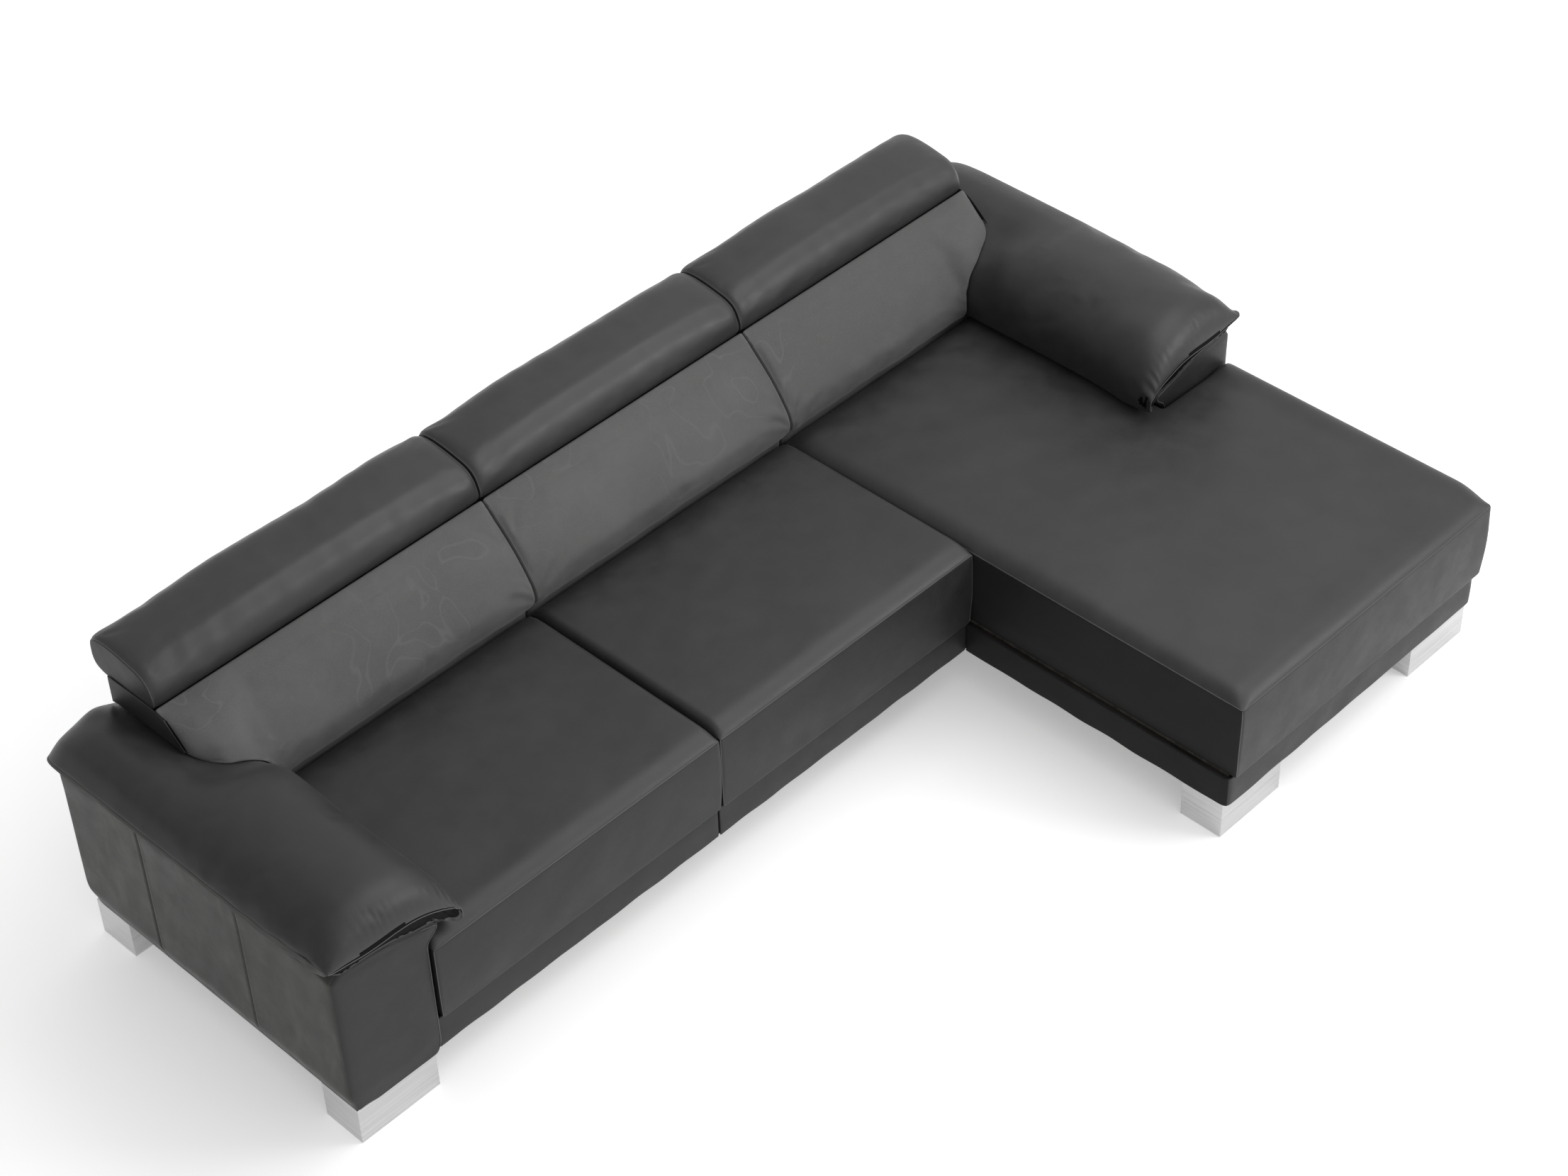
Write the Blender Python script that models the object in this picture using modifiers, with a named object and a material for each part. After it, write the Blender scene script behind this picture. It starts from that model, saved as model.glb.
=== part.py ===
"""Leather corner sofa: two seats and a chaise between padded arms, with three folding headrests.

The origin is on the floor, in the middle of the sofa's outline. +X runs along the back towards
the chaise, +Y towards the rear and +Z up.
"""

from math import atan2, copysign, cos, hypot, pi, radians, sin, sqrt

import bmesh
import bpy
from mathutils import Vector

# Gaps
GAP = 0.0003
SOFT_GAP = 0.0005
ARM_GAP = 0.006
PLINTH_GAP = 0.004
SHADOW_GAP = 0.004
WELD = 0.00003
CUT_OVERRUN = 0.05

# Plan
ARM_WIDTH = 0.238
SEAT_WIDTH = 0.845
CHAISE_WIDTH = 0.955
BODY_DEPTH = 0.900
CHAISE_REACH = 0.794
BACK_DEPTH = 0.300
CUSHION_OVERHANG = 0.018
HEADREST_OVERHANG = 0.038
ARM_AHEAD = 0.012
ARM_BEHIND = 0.006
BACK_EAR = 0.092

# Heights
LEG_HEIGHT = 0.105
PLINTH_HEIGHT = 0.090
CUSHION_SIDE = 0.221
CUSHION_CROWN = 0.029
ARM_BODY_HEIGHT = 0.446
PAD_HEIGHT = 0.101
BACK_ABOVE_PAD = 0.031

# Legs and feet
LEG_WIDTH = 0.219
LEG_DEPTH = 0.117
LEG_WALL = 0.003
LEG_INSET = 0.005
CHAISE_LEG_SETBACK = 0.014
FOOT_RADIUS = 0.024
FOOT_SETBACK = 0.160
FOOT_REAR_SETBACK = 0.100
FOOT_SIDES = 20

# Base
BOARD = 0.022
RAIL_HEIGHT = 0.081
BOARD_EDGE = 0.002
DECK_THICKNESS = 0.0115
DECK_INSET = 0.014
SKIN = 0.006

# Seat cushions
CUSHION_EDGE = 0.050
CUSHION_CORNER = 0.028
CUSHION_DRAW = 0.010
CUSHION_EDGE_SHARES = (0.25, 0.7, 1.6)
CUSHION_MIDDLE_SHARES = (-0.5, 0, 0.5)
CUSHION_HEIGHT_SHARES = (-0.8, 0, 0.6)
EDGE_LIFT_SHARE = 0.65

# Arms
ARM_WADDING = 0.016
ARM_BOARD = 0.018
ARM_TOP_WADDING = 0.0205
ARM_TOP_FALL = 0.0295
ARM_TAPER = 0.012
ARM_END_STEP_SHARES = (0, 0.3, 1.25)
LIP_OVERHANG = 0.0275
PAD_WIDTH = 0.320
PAD_AHEAD = 0.018
PAD_BEHIND = 0.010
PAD_SEAT_GAP = 0.0006
PAD_FRONT_ROUND = 0.130
PAD_FRONT_SPREAD = 0.240
PAD_REAR_ROUND = 0.060
PAD_REAR_SHARE = 0.70
PAD_FRONT_STEP_SHARES = (0, 0.03, 0.12, 0.3, 0.6, 1, 1.8)
PAD_REAR_STEP_SHARES = (0, 0.1, 0.4, 1)
ARM_BODY_SHARES = (
    (0.90, 0.0), (0.96, 0.045), (0.985, 0.22), (1.0, 0.44), (1.0, 0.72),
    (1.03, 0.76), (1.097, 0.794), (1.126, 0.836), (1.085, 0.89), (0.86, 0.942),
    (0.70, 0.97), (0.50, 0.99), (0.22, 1.0), (0.045, 0.985), (0.0, 0.94),
    (0.0, 0.5), (0.0, 0.045), (0.04, 0.0),
)
ARM_TOP_POINTS = slice(7, 14)
ARM_FLARE_POINT = 4
PAD_FULL_SHARES = (
    (0.0, 0.505), (0.0625, 0.76), (0.1625, 0.92), (0.3125, 1.0), (0.469, 0.99),
    (0.616, 0.91), (0.748, 0.78), (0.852, 0.485), (0.927, 0.02), (0.982, -0.455),
    (1.0, -0.75), (0.992, -0.94), (0.955, -0.99),
)
PAD_END_SHARES = (
    (0.0, 0.36), (0.0625, 0.32), (0.1625, 0.24), (0.30, 0.215), (0.44, 0.205),
    (0.56, 0.18), (0.71, 0.10), (0.85, 0.0), (0.975, -0.12), (1.06, -0.28),
    (1.105, -0.52), (1.09, -0.70), (1.04, -0.74),
)

# Backs
COVER = 0.008
BACK_BULGE = 0.034
BACK_FOOT_GAP = 0.006
BACK_DRAW_SHARE = 0.12
BACK_TOP_DRAW_SHARE = 0.03
BACK_TOP_LIFT = 0.0105
BACK_END_ROUND = 0.080
BACK_END_SHARES = ((0.0, 1.0), (0.1, 0.45), (0.375, 0.12), (1.0, 0.0))
EAR_LOBE = 0.050
EAR_LOBE_WIDTH = 0.155
EAR_LOBE_ENDS = (
    (0.0, 0.30, 1.0), (0.052, 0.42, 0.45), (0.194, 0.80, 0.12), (0.355, 1.0, 0.05),
    (0.613, 0.90, 0.0), (0.826, 0.30, 0.0), (1.0, 0.0, 0.0),
)
EAR_LOBE_SHARES = (0, 0, 0, 0, 0, 0.6, 1.0, 0.7, 0.36)
BACK_FRONT_SHARES = (
    (0.176, 0.017), (0.053, 0.066), (0.0, 0.161), (0.035, 0.286), (0.153, 0.422),
    (0.329, 0.588), (0.524, 0.737), (0.729, 0.870), (0.888, 0.961),
)
FRAME_FOOT_AHEAD = 0.154
FRAME_BOARD = 0.026
BEAM_HEIGHT = 0.045
BEAM_DEPTH = 0.0617

# Headrests
HEAD_AHEAD = 0.0722
HEAD_BEHIND = 0.133
HEAD_ABOVE = 0.078
HEAD_BELOW = 0.031
HEAD_STOP_GAP = 0.001
HEAD_END_GAP = 0.002
HEAD_END_DROP_SHARE = 0.24
HEAD_END_ROUND = 0.080
HEAD_END_SHARES = ((0.0, 0.90), (0.0875, 0.955), (0.3125, 0.99), (1.0, 1.0))
HEAD_SHARES = (
    (-0.83, -1.0), (-0.955, -0.70), (-1.0, -0.05), (-0.97, 0.23), (-0.865, 0.49),
    (-0.68, 0.72), (-0.384, 0.87), (0.04, 0.95), (0.34, 1.0), (0.66, 0.98),
    (0.86, 0.88), (0.97, 0.66), (1.0, 0.32), (0.985, -0.10), (0.90, -0.62),
    (0.76, -0.95), (0.62, -1.0),
)
NOSE_CLEARANCE = 0.0022
GROOVE_STEPS = 6
HINGE_INSET = 0.170
ROD_RADIUS = 0.006
ROD_CLEARANCE = 0.0004
ROD_SIDES = 24
ROD_OVERRUN = 0.006
EYE_RADIUS = 0.011
EYE_STEPS = 8
BRACKET_PLATE = 0.005
BRACKET_FOOT_WIDTH = 0.036
BRACKET_FOOT_DEPTH = 0.033
BRACKET_FOOT = 0.004
BRACKET_SETBACK = 0.005
EAR_PLATE = 0.004
EAR_ROOT = 0.009
INSERT_THICKNESS = 0.012
INSERT_RISE = 0.0165
INSERT_AHEAD = 0.026
INSERT_BEHIND = 0.106
INSERT_END = 0.060
POCKET_AHEAD = 0.024
POCKET_BEHIND = 0.067
POCKET_SIDE_GAP = 0.003
SLOT_GAP = 0.0005

# Places across the width
HALF_WIDTH = (ARM_WIDTH + ARM_GAP + 2 * SEAT_WIDTH + CHAISE_WIDTH) / 2
X_LEFT = -HALF_WIDTH
X_SEAT = X_LEFT + ARM_WIDTH + ARM_GAP
X_MIDDLE = X_SEAT + SEAT_WIDTH
X_CHAISE = X_MIDDLE + SEAT_WIDTH
X_RIGHT = HALF_WIDTH
X_RIGHT_ARM = X_RIGHT - ARM_WIDTH - ARM_GAP

# Places from front to rear
TOTAL_DEPTH = CUSHION_OVERHANG + CHAISE_REACH + BODY_DEPTH + HEADREST_OVERHANG
Y_SEAT = CUSHION_OVERHANG + CHAISE_REACH - TOTAL_DEPTH / 2
Y_CHAISE = Y_SEAT - CHAISE_REACH
Y_REAR = Y_SEAT + BODY_DEPTH
Y_ARM = Y_SEAT - ARM_AHEAD
Y_ARM_REAR = Y_REAR + ARM_BEHIND
Y_BACK = Y_REAR - BACK_DEPTH
Y_BEAM_REAR = Y_REAR - COVER - GAP
Y_BEAM = Y_BEAM_REAR - BEAM_DEPTH
Y_PIVOT = Y_REAR + HEADREST_OVERHANG - HEAD_BEHIND

# Places above the floor
Z_BASE = LEG_HEIGHT
Z_RAIL = Z_BASE + GAP
Z_DECK = Z_RAIL + RAIL_HEIGHT + GAP
Z_PLINTH = Z_BASE + PLINTH_HEIGHT
Z_CUSHION = Z_PLINTH + SHADOW_GAP
Z_SEAM = Z_CUSHION + CUSHION_SIDE
Z_CROWN = Z_SEAM + CUSHION_CROWN
Z_ARM = Z_BASE + ARM_BODY_HEIGHT
Z_COVER = Z_ARM + PAD_HEIGHT + BACK_ABOVE_PAD
Z_BEAM = Z_COVER - COVER - GAP
Z_PIVOT = Z_COVER + HEAD_STOP_GAP + HEAD_BELOW

# Colour, metallic value and roughness of each material
LOOKS = {
    "seat_leather": ((0.060, 0.060, 0.060), 0.0, 0.50),
    "back_leather": ((0.110, 0.110, 0.110), 0.0, 0.65),
    "arm_leather": ((0.055, 0.055, 0.054), 0.0, 0.48),
    "plinth_leather": ((0.045, 0.045, 0.045), 0.0, 0.52),
    "timber": ((0.46, 0.33, 0.20), 0.0, 0.65),
    "webbing": ((0.10, 0.09, 0.08), 0.0, 0.85),
    "leg_steel": ((0.56, 0.56, 0.56), 1.0, 0.35),
    "hinge_steel": ((0.30, 0.30, 0.31), 1.0, 0.45),
    "foot_plastic": ((0.02, 0.02, 0.02), 0.0, 0.60),
}
SMOOTH_ANGLE = radians(40)

# Rotation of a flat outline and the direction of its thickness, and of a rod
ALONG_X = ((pi / 2, 0, pi / 2), (1, 0, 0))
ALONG_Y = ((pi / 2, 0, 0), (0, 1, 0))
ALONG_Z = ((0, 0, 0), (0, 0, 1))
LYING = (0, pi / 2, 0)
STANDING = (0, 0, 0)


def clear_scene():
    """Remove every object of the opened scene and add the two collections."""
    for obj in list(bpy.data.objects):
        bpy.data.objects.remove(obj, do_unlink=True)
    for name in ("leather_corner_sofa", "cutters"):
        bpy.context.scene.collection.children.link(bpy.data.collections.new(name))


def material(kind):
    """The material of this kind, made when it is first asked for."""
    if kind in bpy.data.materials:
        return bpy.data.materials[kind]
    colour, metallic, roughness = LOOKS[kind]
    made = bpy.data.materials.new(kind)
    made.use_nodes = True
    shader = made.node_tree.nodes["Principled BSDF"]
    shader.inputs["Base Color"].default_value = (*colour, 1.0)
    shader.inputs["Metallic"].default_value = metallic
    shader.inputs["Roughness"].default_value = roughness
    return made


def add_object(name, mesh, kind, parent=None):
    """Link a mesh as a part, or as a cutter where kind is None."""
    obj = bpy.data.objects.new(name, mesh)
    if kind is None:
        bpy.data.collections["cutters"].objects.link(obj)
        obj.hide_render = True
        obj.display_type = "WIRE"
    else:
        bpy.data.collections["leather_corner_sofa"].objects.link(obj)
        mesh.materials.append(material(kind))
    obj.parent = parent
    return obj


def mesh_from(bm, name, smooth=False):
    """The mesh of this bmesh, with its faces turned outwards."""
    bmesh.ops.recalc_face_normals(bm, faces=bm.faces)
    mesh = bpy.data.meshes.new(name)
    bm.to_mesh(mesh)
    bm.free()
    if smooth:
        mesh.shade_smooth()
        mesh.set_sharp_from_angle(angle=SMOOTH_ANGLE)
    return mesh


def box_mesh(low, high):
    """A cube stretched between two corners and centred on its own origin, as a bmesh."""
    bm = bmesh.new()
    bmesh.ops.create_cube(bm, size=1.0)
    bmesh.ops.scale(bm, vec=Vector(high) - Vector(low), verts=bm.verts)
    return bm


def block(name, low, high, kind, edge=0.0, parent=None):
    """A box between two corners, its edges eased where edge is given."""
    obj = add_object(name, mesh_from(box_mesh(low, high), name), kind, parent)
    obj.location = (Vector(low) + Vector(high)) / 2
    if edge:
        bevel = obj.modifiers.new("eased edges", "BEVEL")
        bevel.width = edge
        bevel.segments = 1
    return obj


def flat(name, outline, start, end, along, kind, place=(0, 0, 0)):
    """A flat outline given thickness from start to end along one axis."""
    turn, forward = along
    curve = bpy.data.curves.new(name, "CURVE")
    curve.dimensions = "2D"
    curve.fill_mode = "BOTH"
    curve.extrude = (end - start) / 2
    spline = curve.splines.new("POLY")
    spline.points.add(len(outline) - 1)
    for point, (across, up) in zip(spline.points, outline):
        point.co = (across, up, 0, 1)
    spline.use_cyclic_u = True
    guide = bpy.data.objects.new(name + "_outline", curve)
    bpy.context.scene.collection.objects.link(guide)
    guide.rotation_euler = turn
    guide.location = Vector(place) + Vector(forward) * (start + end) / 2
    bpy.context.view_layer.update()
    graph = bpy.context.evaluated_depsgraph_get()
    mesh = bpy.data.meshes.new_from_object(guide.evaluated_get(graph))
    placed = guide.matrix_world.copy()
    bpy.data.objects.remove(guide)
    bm = bmesh.new()
    bm.from_mesh(mesh)
    bmesh.ops.remove_doubles(bm, verts=bm.verts, dist=WELD)
    bpy.data.meshes.remove(mesh)
    obj = add_object(name, mesh_from(bm, name), kind)
    obj.matrix_world = placed
    return obj


def loft(name, rings, kind, parent=None):
    """A closed skin drawn over rings of points, with a flat cap at each end."""
    bm = bmesh.new()
    loops = [[bm.verts.new(point) for point in ring] for ring in rings]
    count = len(rings[0])
    for first, second in zip(loops, loops[1:]):
        for i in range(count):
            after = (i + 1) % count
            bm.faces.new((first[i], first[after], second[after], second[i]))
    bm.faces.new(loops[0])
    bm.faces.new(loops[-1])
    return add_object(name, mesh_from(bm, name, smooth=True), kind, parent)


def rod(name, radius, length, sides, turn, place, kind, parent=None):
    """A round bar centred on a point."""
    bm = bmesh.new()
    bmesh.ops.create_cone(
        bm, cap_ends=True, segments=sides, radius1=radius, radius2=radius, depth=length
    )
    obj = add_object(name, mesh_from(bm, name, smooth=True), kind, parent)
    obj.rotation_euler = turn
    obj.location = place
    return obj


def combine(obj, other, operation):
    """Cut another object out of this one, or join it on, and leave the other as a helper."""
    modifier = obj.modifiers.new(other.name, "BOOLEAN")
    modifier.operation = operation
    modifier.solver = "EXACT"
    modifier.object = other


def quarter(share):
    """Height of a quarter circle, from 0 at its edge to 1 where it levels out."""
    inward = 1 - min(max(share, 0), 1)
    return sqrt(1 - inward * inward)


def ease(share):
    """A smooth step from 0 to 1."""
    share = min(max(share, 0), 1)
    return share * share * (3 - 2 * share)


# Legs and feet

def leg(name, x, y):
    """A steel leg: a folded box with an open top, its left front corner at x, y."""
    bm = box_mesh((0, 0, 0), (LEG_WIDTH, LEG_DEPTH, LEG_HEIGHT - GAP))
    top = [face for face in bm.faces if face.normal.z > 0.5]
    bmesh.ops.delete(bm, geom=top, context="FACES_ONLY")
    obj = add_object(name, mesh_from(bm, name), "leg_steel")
    obj.location = (x + LEG_WIDTH / 2, y + LEG_DEPTH / 2, (LEG_HEIGHT - GAP) / 2)
    wall = obj.modifiers.new("sheet", "SOLIDIFY")
    wall.thickness = LEG_WALL
    wall.offset = -1
    wall.use_even_offset = True


def legs():
    """The five steel legs that show, or would show from the sides."""
    left = X_LEFT + LEG_INSET
    right = X_RIGHT - LEG_INSET - LEG_WIDTH
    rear = Y_REAR - LEG_DEPTH
    front = Y_CHAISE + CHAISE_LEG_SETBACK
    leg("leg_left_front", left, Y_SEAT)
    leg("leg_left_rear", left, rear)
    leg("leg_chaise_left", X_CHAISE, front)
    leg("leg_chaise_right", right, front)
    leg("leg_right_rear", right, rear)


def feet():
    """Plain round feet under the joints between the three modules."""
    height = LEG_HEIGHT - GAP
    for side, x in (("left", X_MIDDLE), ("right", X_CHAISE)):
        for end, y in (("front", Y_SEAT + FOOT_SETBACK), ("rear", Y_REAR - FOOT_REAR_SETBACK)):
            name = f"foot_{side}_joint_{end}"
            rod(name, FOOT_RADIUS, height, FOOT_SIDES, STANDING, (x, y, height / 2), "foot_plastic")


# Base frames

def rail(name, low, high):
    """A timber rail standing on edge between two plan corners."""
    top = Z_RAIL + RAIL_HEIGHT
    block(name, (*low, Z_RAIL), (*high, top), "timber", BOARD_EDGE)


def seat_base(name, x_start, x_end, has_left_rail):
    """Front, rear and side rails of a seat module, between two ends."""
    front = Y_SEAT + SKIN + GAP
    rear = Y_REAR - COVER - GAP
    rail(f"base_{name}_front_rail", (x_start, front), (x_end, front + BOARD))
    rail(f"base_{name}_rear_rail", (x_start, rear - BOARD), (x_end, rear))
    inside_front = front + BOARD + GAP
    inside_rear = rear - BOARD - GAP
    rail(f"base_{name}_right_rail", (x_end - BOARD, inside_front), (x_end, inside_rear))
    if has_left_rail:
        rail(f"base_{name}_left_rail", (x_start, inside_front), (x_start + BOARD, inside_rear))


def chaise_base():
    """Rails of the chaise module, which runs forward past the seats."""
    left = X_CHAISE + GAP
    right = X_RIGHT - SKIN - GAP
    front = Y_CHAISE + SKIN + GAP
    rear = Y_REAR - COVER - GAP
    cross = Y_ARM - GAP
    arm_side = X_RIGHT_ARM + ARM_GAP - GAP
    inside_front = front + BOARD + GAP
    rail("base_chaise_front_rail", (left, front), (right, front + BOARD))
    rail("base_chaise_left_rail", (left, inside_front), (left + BOARD, rear - BOARD - GAP))
    rail("base_chaise_right_rail", (right - BOARD, inside_front), (right, cross - BOARD - GAP))
    rail("base_chaise_cross_rail", (left + BOARD + GAP, cross - BOARD), (right, cross))
    rail("base_chaise_rear_rail", (left, rear - BOARD), (arm_side, rear))


def decks():
    """Sprung webbing platforms that carry the seat cushions."""
    top = Z_DECK + DECK_THICKNESS
    front = Y_SEAT + DECK_INSET
    rear = Y_REAR - COVER - DECK_INSET
    for name, start in (("left", X_SEAT), ("middle", X_MIDDLE)):
        low = (start + DECK_INSET, front, Z_DECK)
        high = (start + SEAT_WIDTH - DECK_INSET, rear, top)
        block(f"seat_{name}_spring_deck", low, high, "webbing")
    left = X_CHAISE + DECK_INSET
    arm_front = Y_ARM - DECK_INSET
    outline = (
        (left, Y_CHAISE + DECK_INSET),
        (X_RIGHT - DECK_INSET, Y_CHAISE + DECK_INSET),
        (X_RIGHT - DECK_INSET, arm_front),
        (X_RIGHT_ARM - DECK_INSET, arm_front),
        (X_RIGHT_ARM - DECK_INSET, rear),
        (left, rear),
    )
    flat("seat_chaise_spring_deck", outline, Z_DECK, top, ALONG_Z, "webbing")


def plinths():
    """Leather skins over the rails that show below the cushions."""
    low = Z_BASE
    for name, start in (("left", X_SEAT), ("middle", X_MIDDLE)):
        corner = (start + PLINTH_GAP, Y_SEAT, low)
        opposite = (start + SEAT_WIDTH - PLINTH_GAP, Y_SEAT + SKIN, Z_PLINTH)
        block(f"plinth_{name}_cover", corner, opposite, "plinth_leather")
    left = X_CHAISE
    inner = left - SKIN
    arm_front = Y_ARM - GAP
    seat_front = Y_SEAT - GAP
    outline = (
        (inner, seat_front), (inner, Y_CHAISE), (X_RIGHT, Y_CHAISE), (X_RIGHT, arm_front),
        (X_RIGHT - SKIN, arm_front), (X_RIGHT - SKIN, Y_CHAISE + SKIN),
        (left, Y_CHAISE + SKIN), (left, seat_front),
    )
    flat("plinth_chaise_cover", outline, low, Z_PLINTH, ALONG_Z, "plinth_leather")


# Seat cushions

def loop_cuts(bm, axis, places):
    """Cut the mesh across one axis at each place, as loop cuts would."""
    normal = [0, 0, 0]
    normal[axis] = 1
    for place in places:
        point = [0, 0, 0]
        point[axis] = place
        everything = list(bm.verts) + list(bm.edges) + list(bm.faces)
        bmesh.ops.bisect_plane(bm, geom=everything, plane_co=point, plane_no=normal)


def cushion_cuts(half):
    """Places of the loop cuts across a cushion: close at its edges, wide in its middle."""
    edges = [half - share * CUSHION_EDGE for share in CUSHION_EDGE_SHARES]
    middle = [share * half for share in CUSHION_MIDDLE_SHARES]
    return [-place for place in edges] + middle + edges


def shape_cushion(co, half):
    """Where a point of the plain block goes on the finished cushion."""
    aside = (half.x - abs(co.x), half.y - abs(co.y))
    inset = CUSHION_DRAW * ((1 - co.z / half.z) / 2) ** 2
    x, y, z = co
    near = [max(0, 1 - gap / CUSHION_CORNER) for gap in aside]
    if min(near) > 0:
        pull = max(near) / hypot(*near)
        x -= copysign((1 - pull) * near[0] * CUSHION_CORNER, x)
        y -= copysign((1 - pull) * near[1] * CUSHION_CORNER, y)
    if co.z > half.z - WELD:
        edge = quarter(aside[0] / CUSHION_EDGE) * quarter(aside[1] / CUSHION_EDGE)
        crown = (1 - (co.x / half.x) ** 2) * (1 - (co.y / half.y) ** 2)
        z += CUSHION_CROWN * (EDGE_LIFT_SHARE * edge + (1 - EDGE_LIFT_SHARE) * crown)
    return Vector((x * (1 - inset / half.x), y * (1 - inset / half.y), z))


def seat_cushion(name, x_start, x_end, y_start, y_end):
    """A seat cushion with a crowned top and sides that draw in towards the plinth."""
    low = Vector((x_start, y_start, Z_CUSHION))
    high = Vector((x_end, y_end, Z_SEAM))
    half = (high - low) / 2
    bm = box_mesh(low, high)
    loop_cuts(bm, 0, cushion_cuts(half.x))
    loop_cuts(bm, 1, cushion_cuts(half.y))
    loop_cuts(bm, 2, [share * half.z for share in CUSHION_HEIGHT_SHARES])
    for vert in bm.verts:
        vert.co = shape_cushion(vert.co, half)
    obj = add_object(name, mesh_from(bm, name, smooth=True), "seat_leather")
    obj.location = (low + high) / 2
    return obj


def seat_cushions():
    """The two seat cushions and the long one of the chaise, notched for the right arm."""
    front = Y_SEAT - CUSHION_OVERHANG
    for name, start in (("left", X_SEAT), ("middle", X_MIDDLE)):
        end = start + SEAT_WIDTH - SOFT_GAP
        seat_cushion(f"seat_{name}_cushion", start + SOFT_GAP, end, front, Y_BACK)
    start = X_CHAISE + SOFT_GAP
    end = X_RIGHT + SOFT_GAP
    chaise = seat_cushion("seat_chaise_cushion", start, end, Y_CHAISE - CUSHION_OVERHANG, Y_BACK)
    flare = arm_point(ARM_BODY_SHARES[ARM_FLARE_POINT + 2])[0]
    notch = block(
        "chaise_arm_notch",
        (X_RIGHT - flare - SOFT_GAP, Y_ARM - SOFT_GAP, Z_CUSHION - CUT_OVERRUN),
        (X_RIGHT + CUT_OVERRUN, Y_BACK + CUT_OVERRUN, Z_CROWN + CUT_OVERRUN),
        None,
    )
    combine(chaise, notch, "DIFFERENCE")


# Arms

def arm_point(share):
    """A point of the arm body's outline: distance in from its outer face, and height."""
    return share[0] * ARM_WIDTH, Z_BASE + share[1] * ARM_BODY_HEIGHT


def pad_point(share):
    """A point of the arm pad's outline, from the same outer face and the floor."""
    return share[0] * PAD_WIDTH - LIP_OVERHANG, Z_ARM + share[1] * PAD_HEIGHT


def arm_rings(side, points_at, places):
    """Rings along the arm, with in-from-outer-face distances turned into x for this side."""
    return [[(side * (HALF_WIDTH - u), y, z) for u, z in points_at(y)] for y in places]


def arm_body(side, name):
    """The arm's leather cover over its wadding: a casing that is open at the bottom."""
    edge = ARM_WADDING
    middle = ARM_WIDTH / 2

    def points_at(y):
        inset = ARM_TAPER * (1 - quarter(min(y - Y_ARM, Y_ARM_REAR - y) / edge))
        ring = []
        for share in ARM_BODY_SHARES:
            u, z = arm_point(share)
            u += inset * (middle - u) / middle
            ring.append((u, z))
        return ring

    steps = [share * edge for share in ARM_END_STEP_SHARES]
    places = [Y_ARM + step for step in steps] + [Y_ARM_REAR - step for step in reversed(steps)]
    cover = loft(f"arm_{name}_cover", arm_rings(side, points_at, places), "arm_leather")
    hollow = [(side * (HALF_WIDTH - u), z) for u, z in arm_hollow(0, Z_BASE - CUT_OVERRUN)]
    core = flat(f"arm_{name}_hollow", hollow, Y_ARM + edge, Y_ARM_REAR - edge, ALONG_Y, None)
    combine(cover, core, "DIFFERENCE")


def arm_hollow(gap, bottom):
    """Outline of the space inside the arm's wadding, drawn in by a gap."""
    outer = ARM_WADDING + gap
    inner = ARM_WIDTH - ARM_WADDING - gap
    top = Z_ARM - ARM_TOP_WADDING - gap
    return [
        (outer, bottom), (outer, top), (ARM_WIDTH / 2, top), (inner, top - ARM_TOP_FALL),
        (inner, bottom),
    ]


def arm_frame(side, name):
    """The timber frame inside the arm: two boards and the top that joins them."""
    outside = arm_hollow(GAP, Z_RAIL)
    low, top, bend, fall, end = outside
    outline = [
        low, top, bend, fall, end,
        (end[0] - ARM_BOARD, end[1]), (fall[0] - ARM_BOARD, fall[1] - ARM_BOARD),
        (bend[0], bend[1] - ARM_BOARD), (top[0] + ARM_BOARD, top[1] - ARM_BOARD),
        (low[0] + ARM_BOARD, low[1]),
    ]
    placed = [(side * (HALF_WIDTH - u), z) for u, z in outline]
    start = Y_ARM + ARM_WADDING + GAP
    end = Y_ARM_REAR - ARM_WADDING - GAP
    flat(f"arm_{name}_frame", placed, start, end, ALONG_Y, "timber")


def pad_underside():
    """The pad's underside, just clear of the arm body's top, from the seat side outwards."""
    under = [arm_point(share) for share in ARM_BODY_SHARES[ARM_TOP_POINTS]]
    inner = under[0][0] + GAP
    below = [(inner, under[0][1] - ARM_WADDING), (inner, under[0][1])]
    return below + [(u + GAP, z + PAD_SEAT_GAP) for u, z in under[1:]]


def pad_top(spread, fullness):
    """The pad's upper outline: end shape at 0 and full shape at 1, across and upwards."""
    points = []
    for end, full in zip(PAD_END_SHARES, PAD_FULL_SHARES):
        across = end[0] + (full[0] - end[0]) * spread
        up = end[1] + (full[1] - end[1]) * fullness
        points.append(pad_point((across, up)))
    return points


def arm_pad(side, name):
    """The pillow on the arm: rounded at its front, drooping towards the seat."""
    front = Y_ARM - PAD_AHEAD
    rear = Y_ARM_REAR + PAD_BEHIND

    def points_at(y):
        ahead = y - front
        top = pad_top(ease(ahead / PAD_FRONT_SPREAD), quarter(ahead / PAD_FRONT_ROUND))
        sink = (1 - PAD_REAR_SHARE) * (1 - quarter((rear - y) / PAD_REAR_ROUND))
        lowered = [(u, z - sink * max(0, z - Z_ARM)) for u, z in top]
        return lowered + pad_underside()

    places = [front + share * PAD_FRONT_ROUND for share in PAD_FRONT_STEP_SHARES]
    places += [(front + rear) / 2]
    places += [rear - share * PAD_REAR_ROUND for share in reversed(PAD_REAR_STEP_SHARES)]
    loft(f"arm_{name}_pad", arm_rings(side, points_at, places), "arm_leather")


def grown(points, gap):
    """An open outline moved outwards, each point square to the line between its neighbours."""
    moved = []
    for i, (u, z) in enumerate(points):
        before = points[max(i - 1, 0)]
        after = points[min(i + 1, len(points) - 1)]
        run = after[0] - before[0]
        rise = after[1] - before[1]
        step = gap / hypot(run, rise)
        moved.append((u - rise * step, z + run * step))
    return moved


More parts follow.
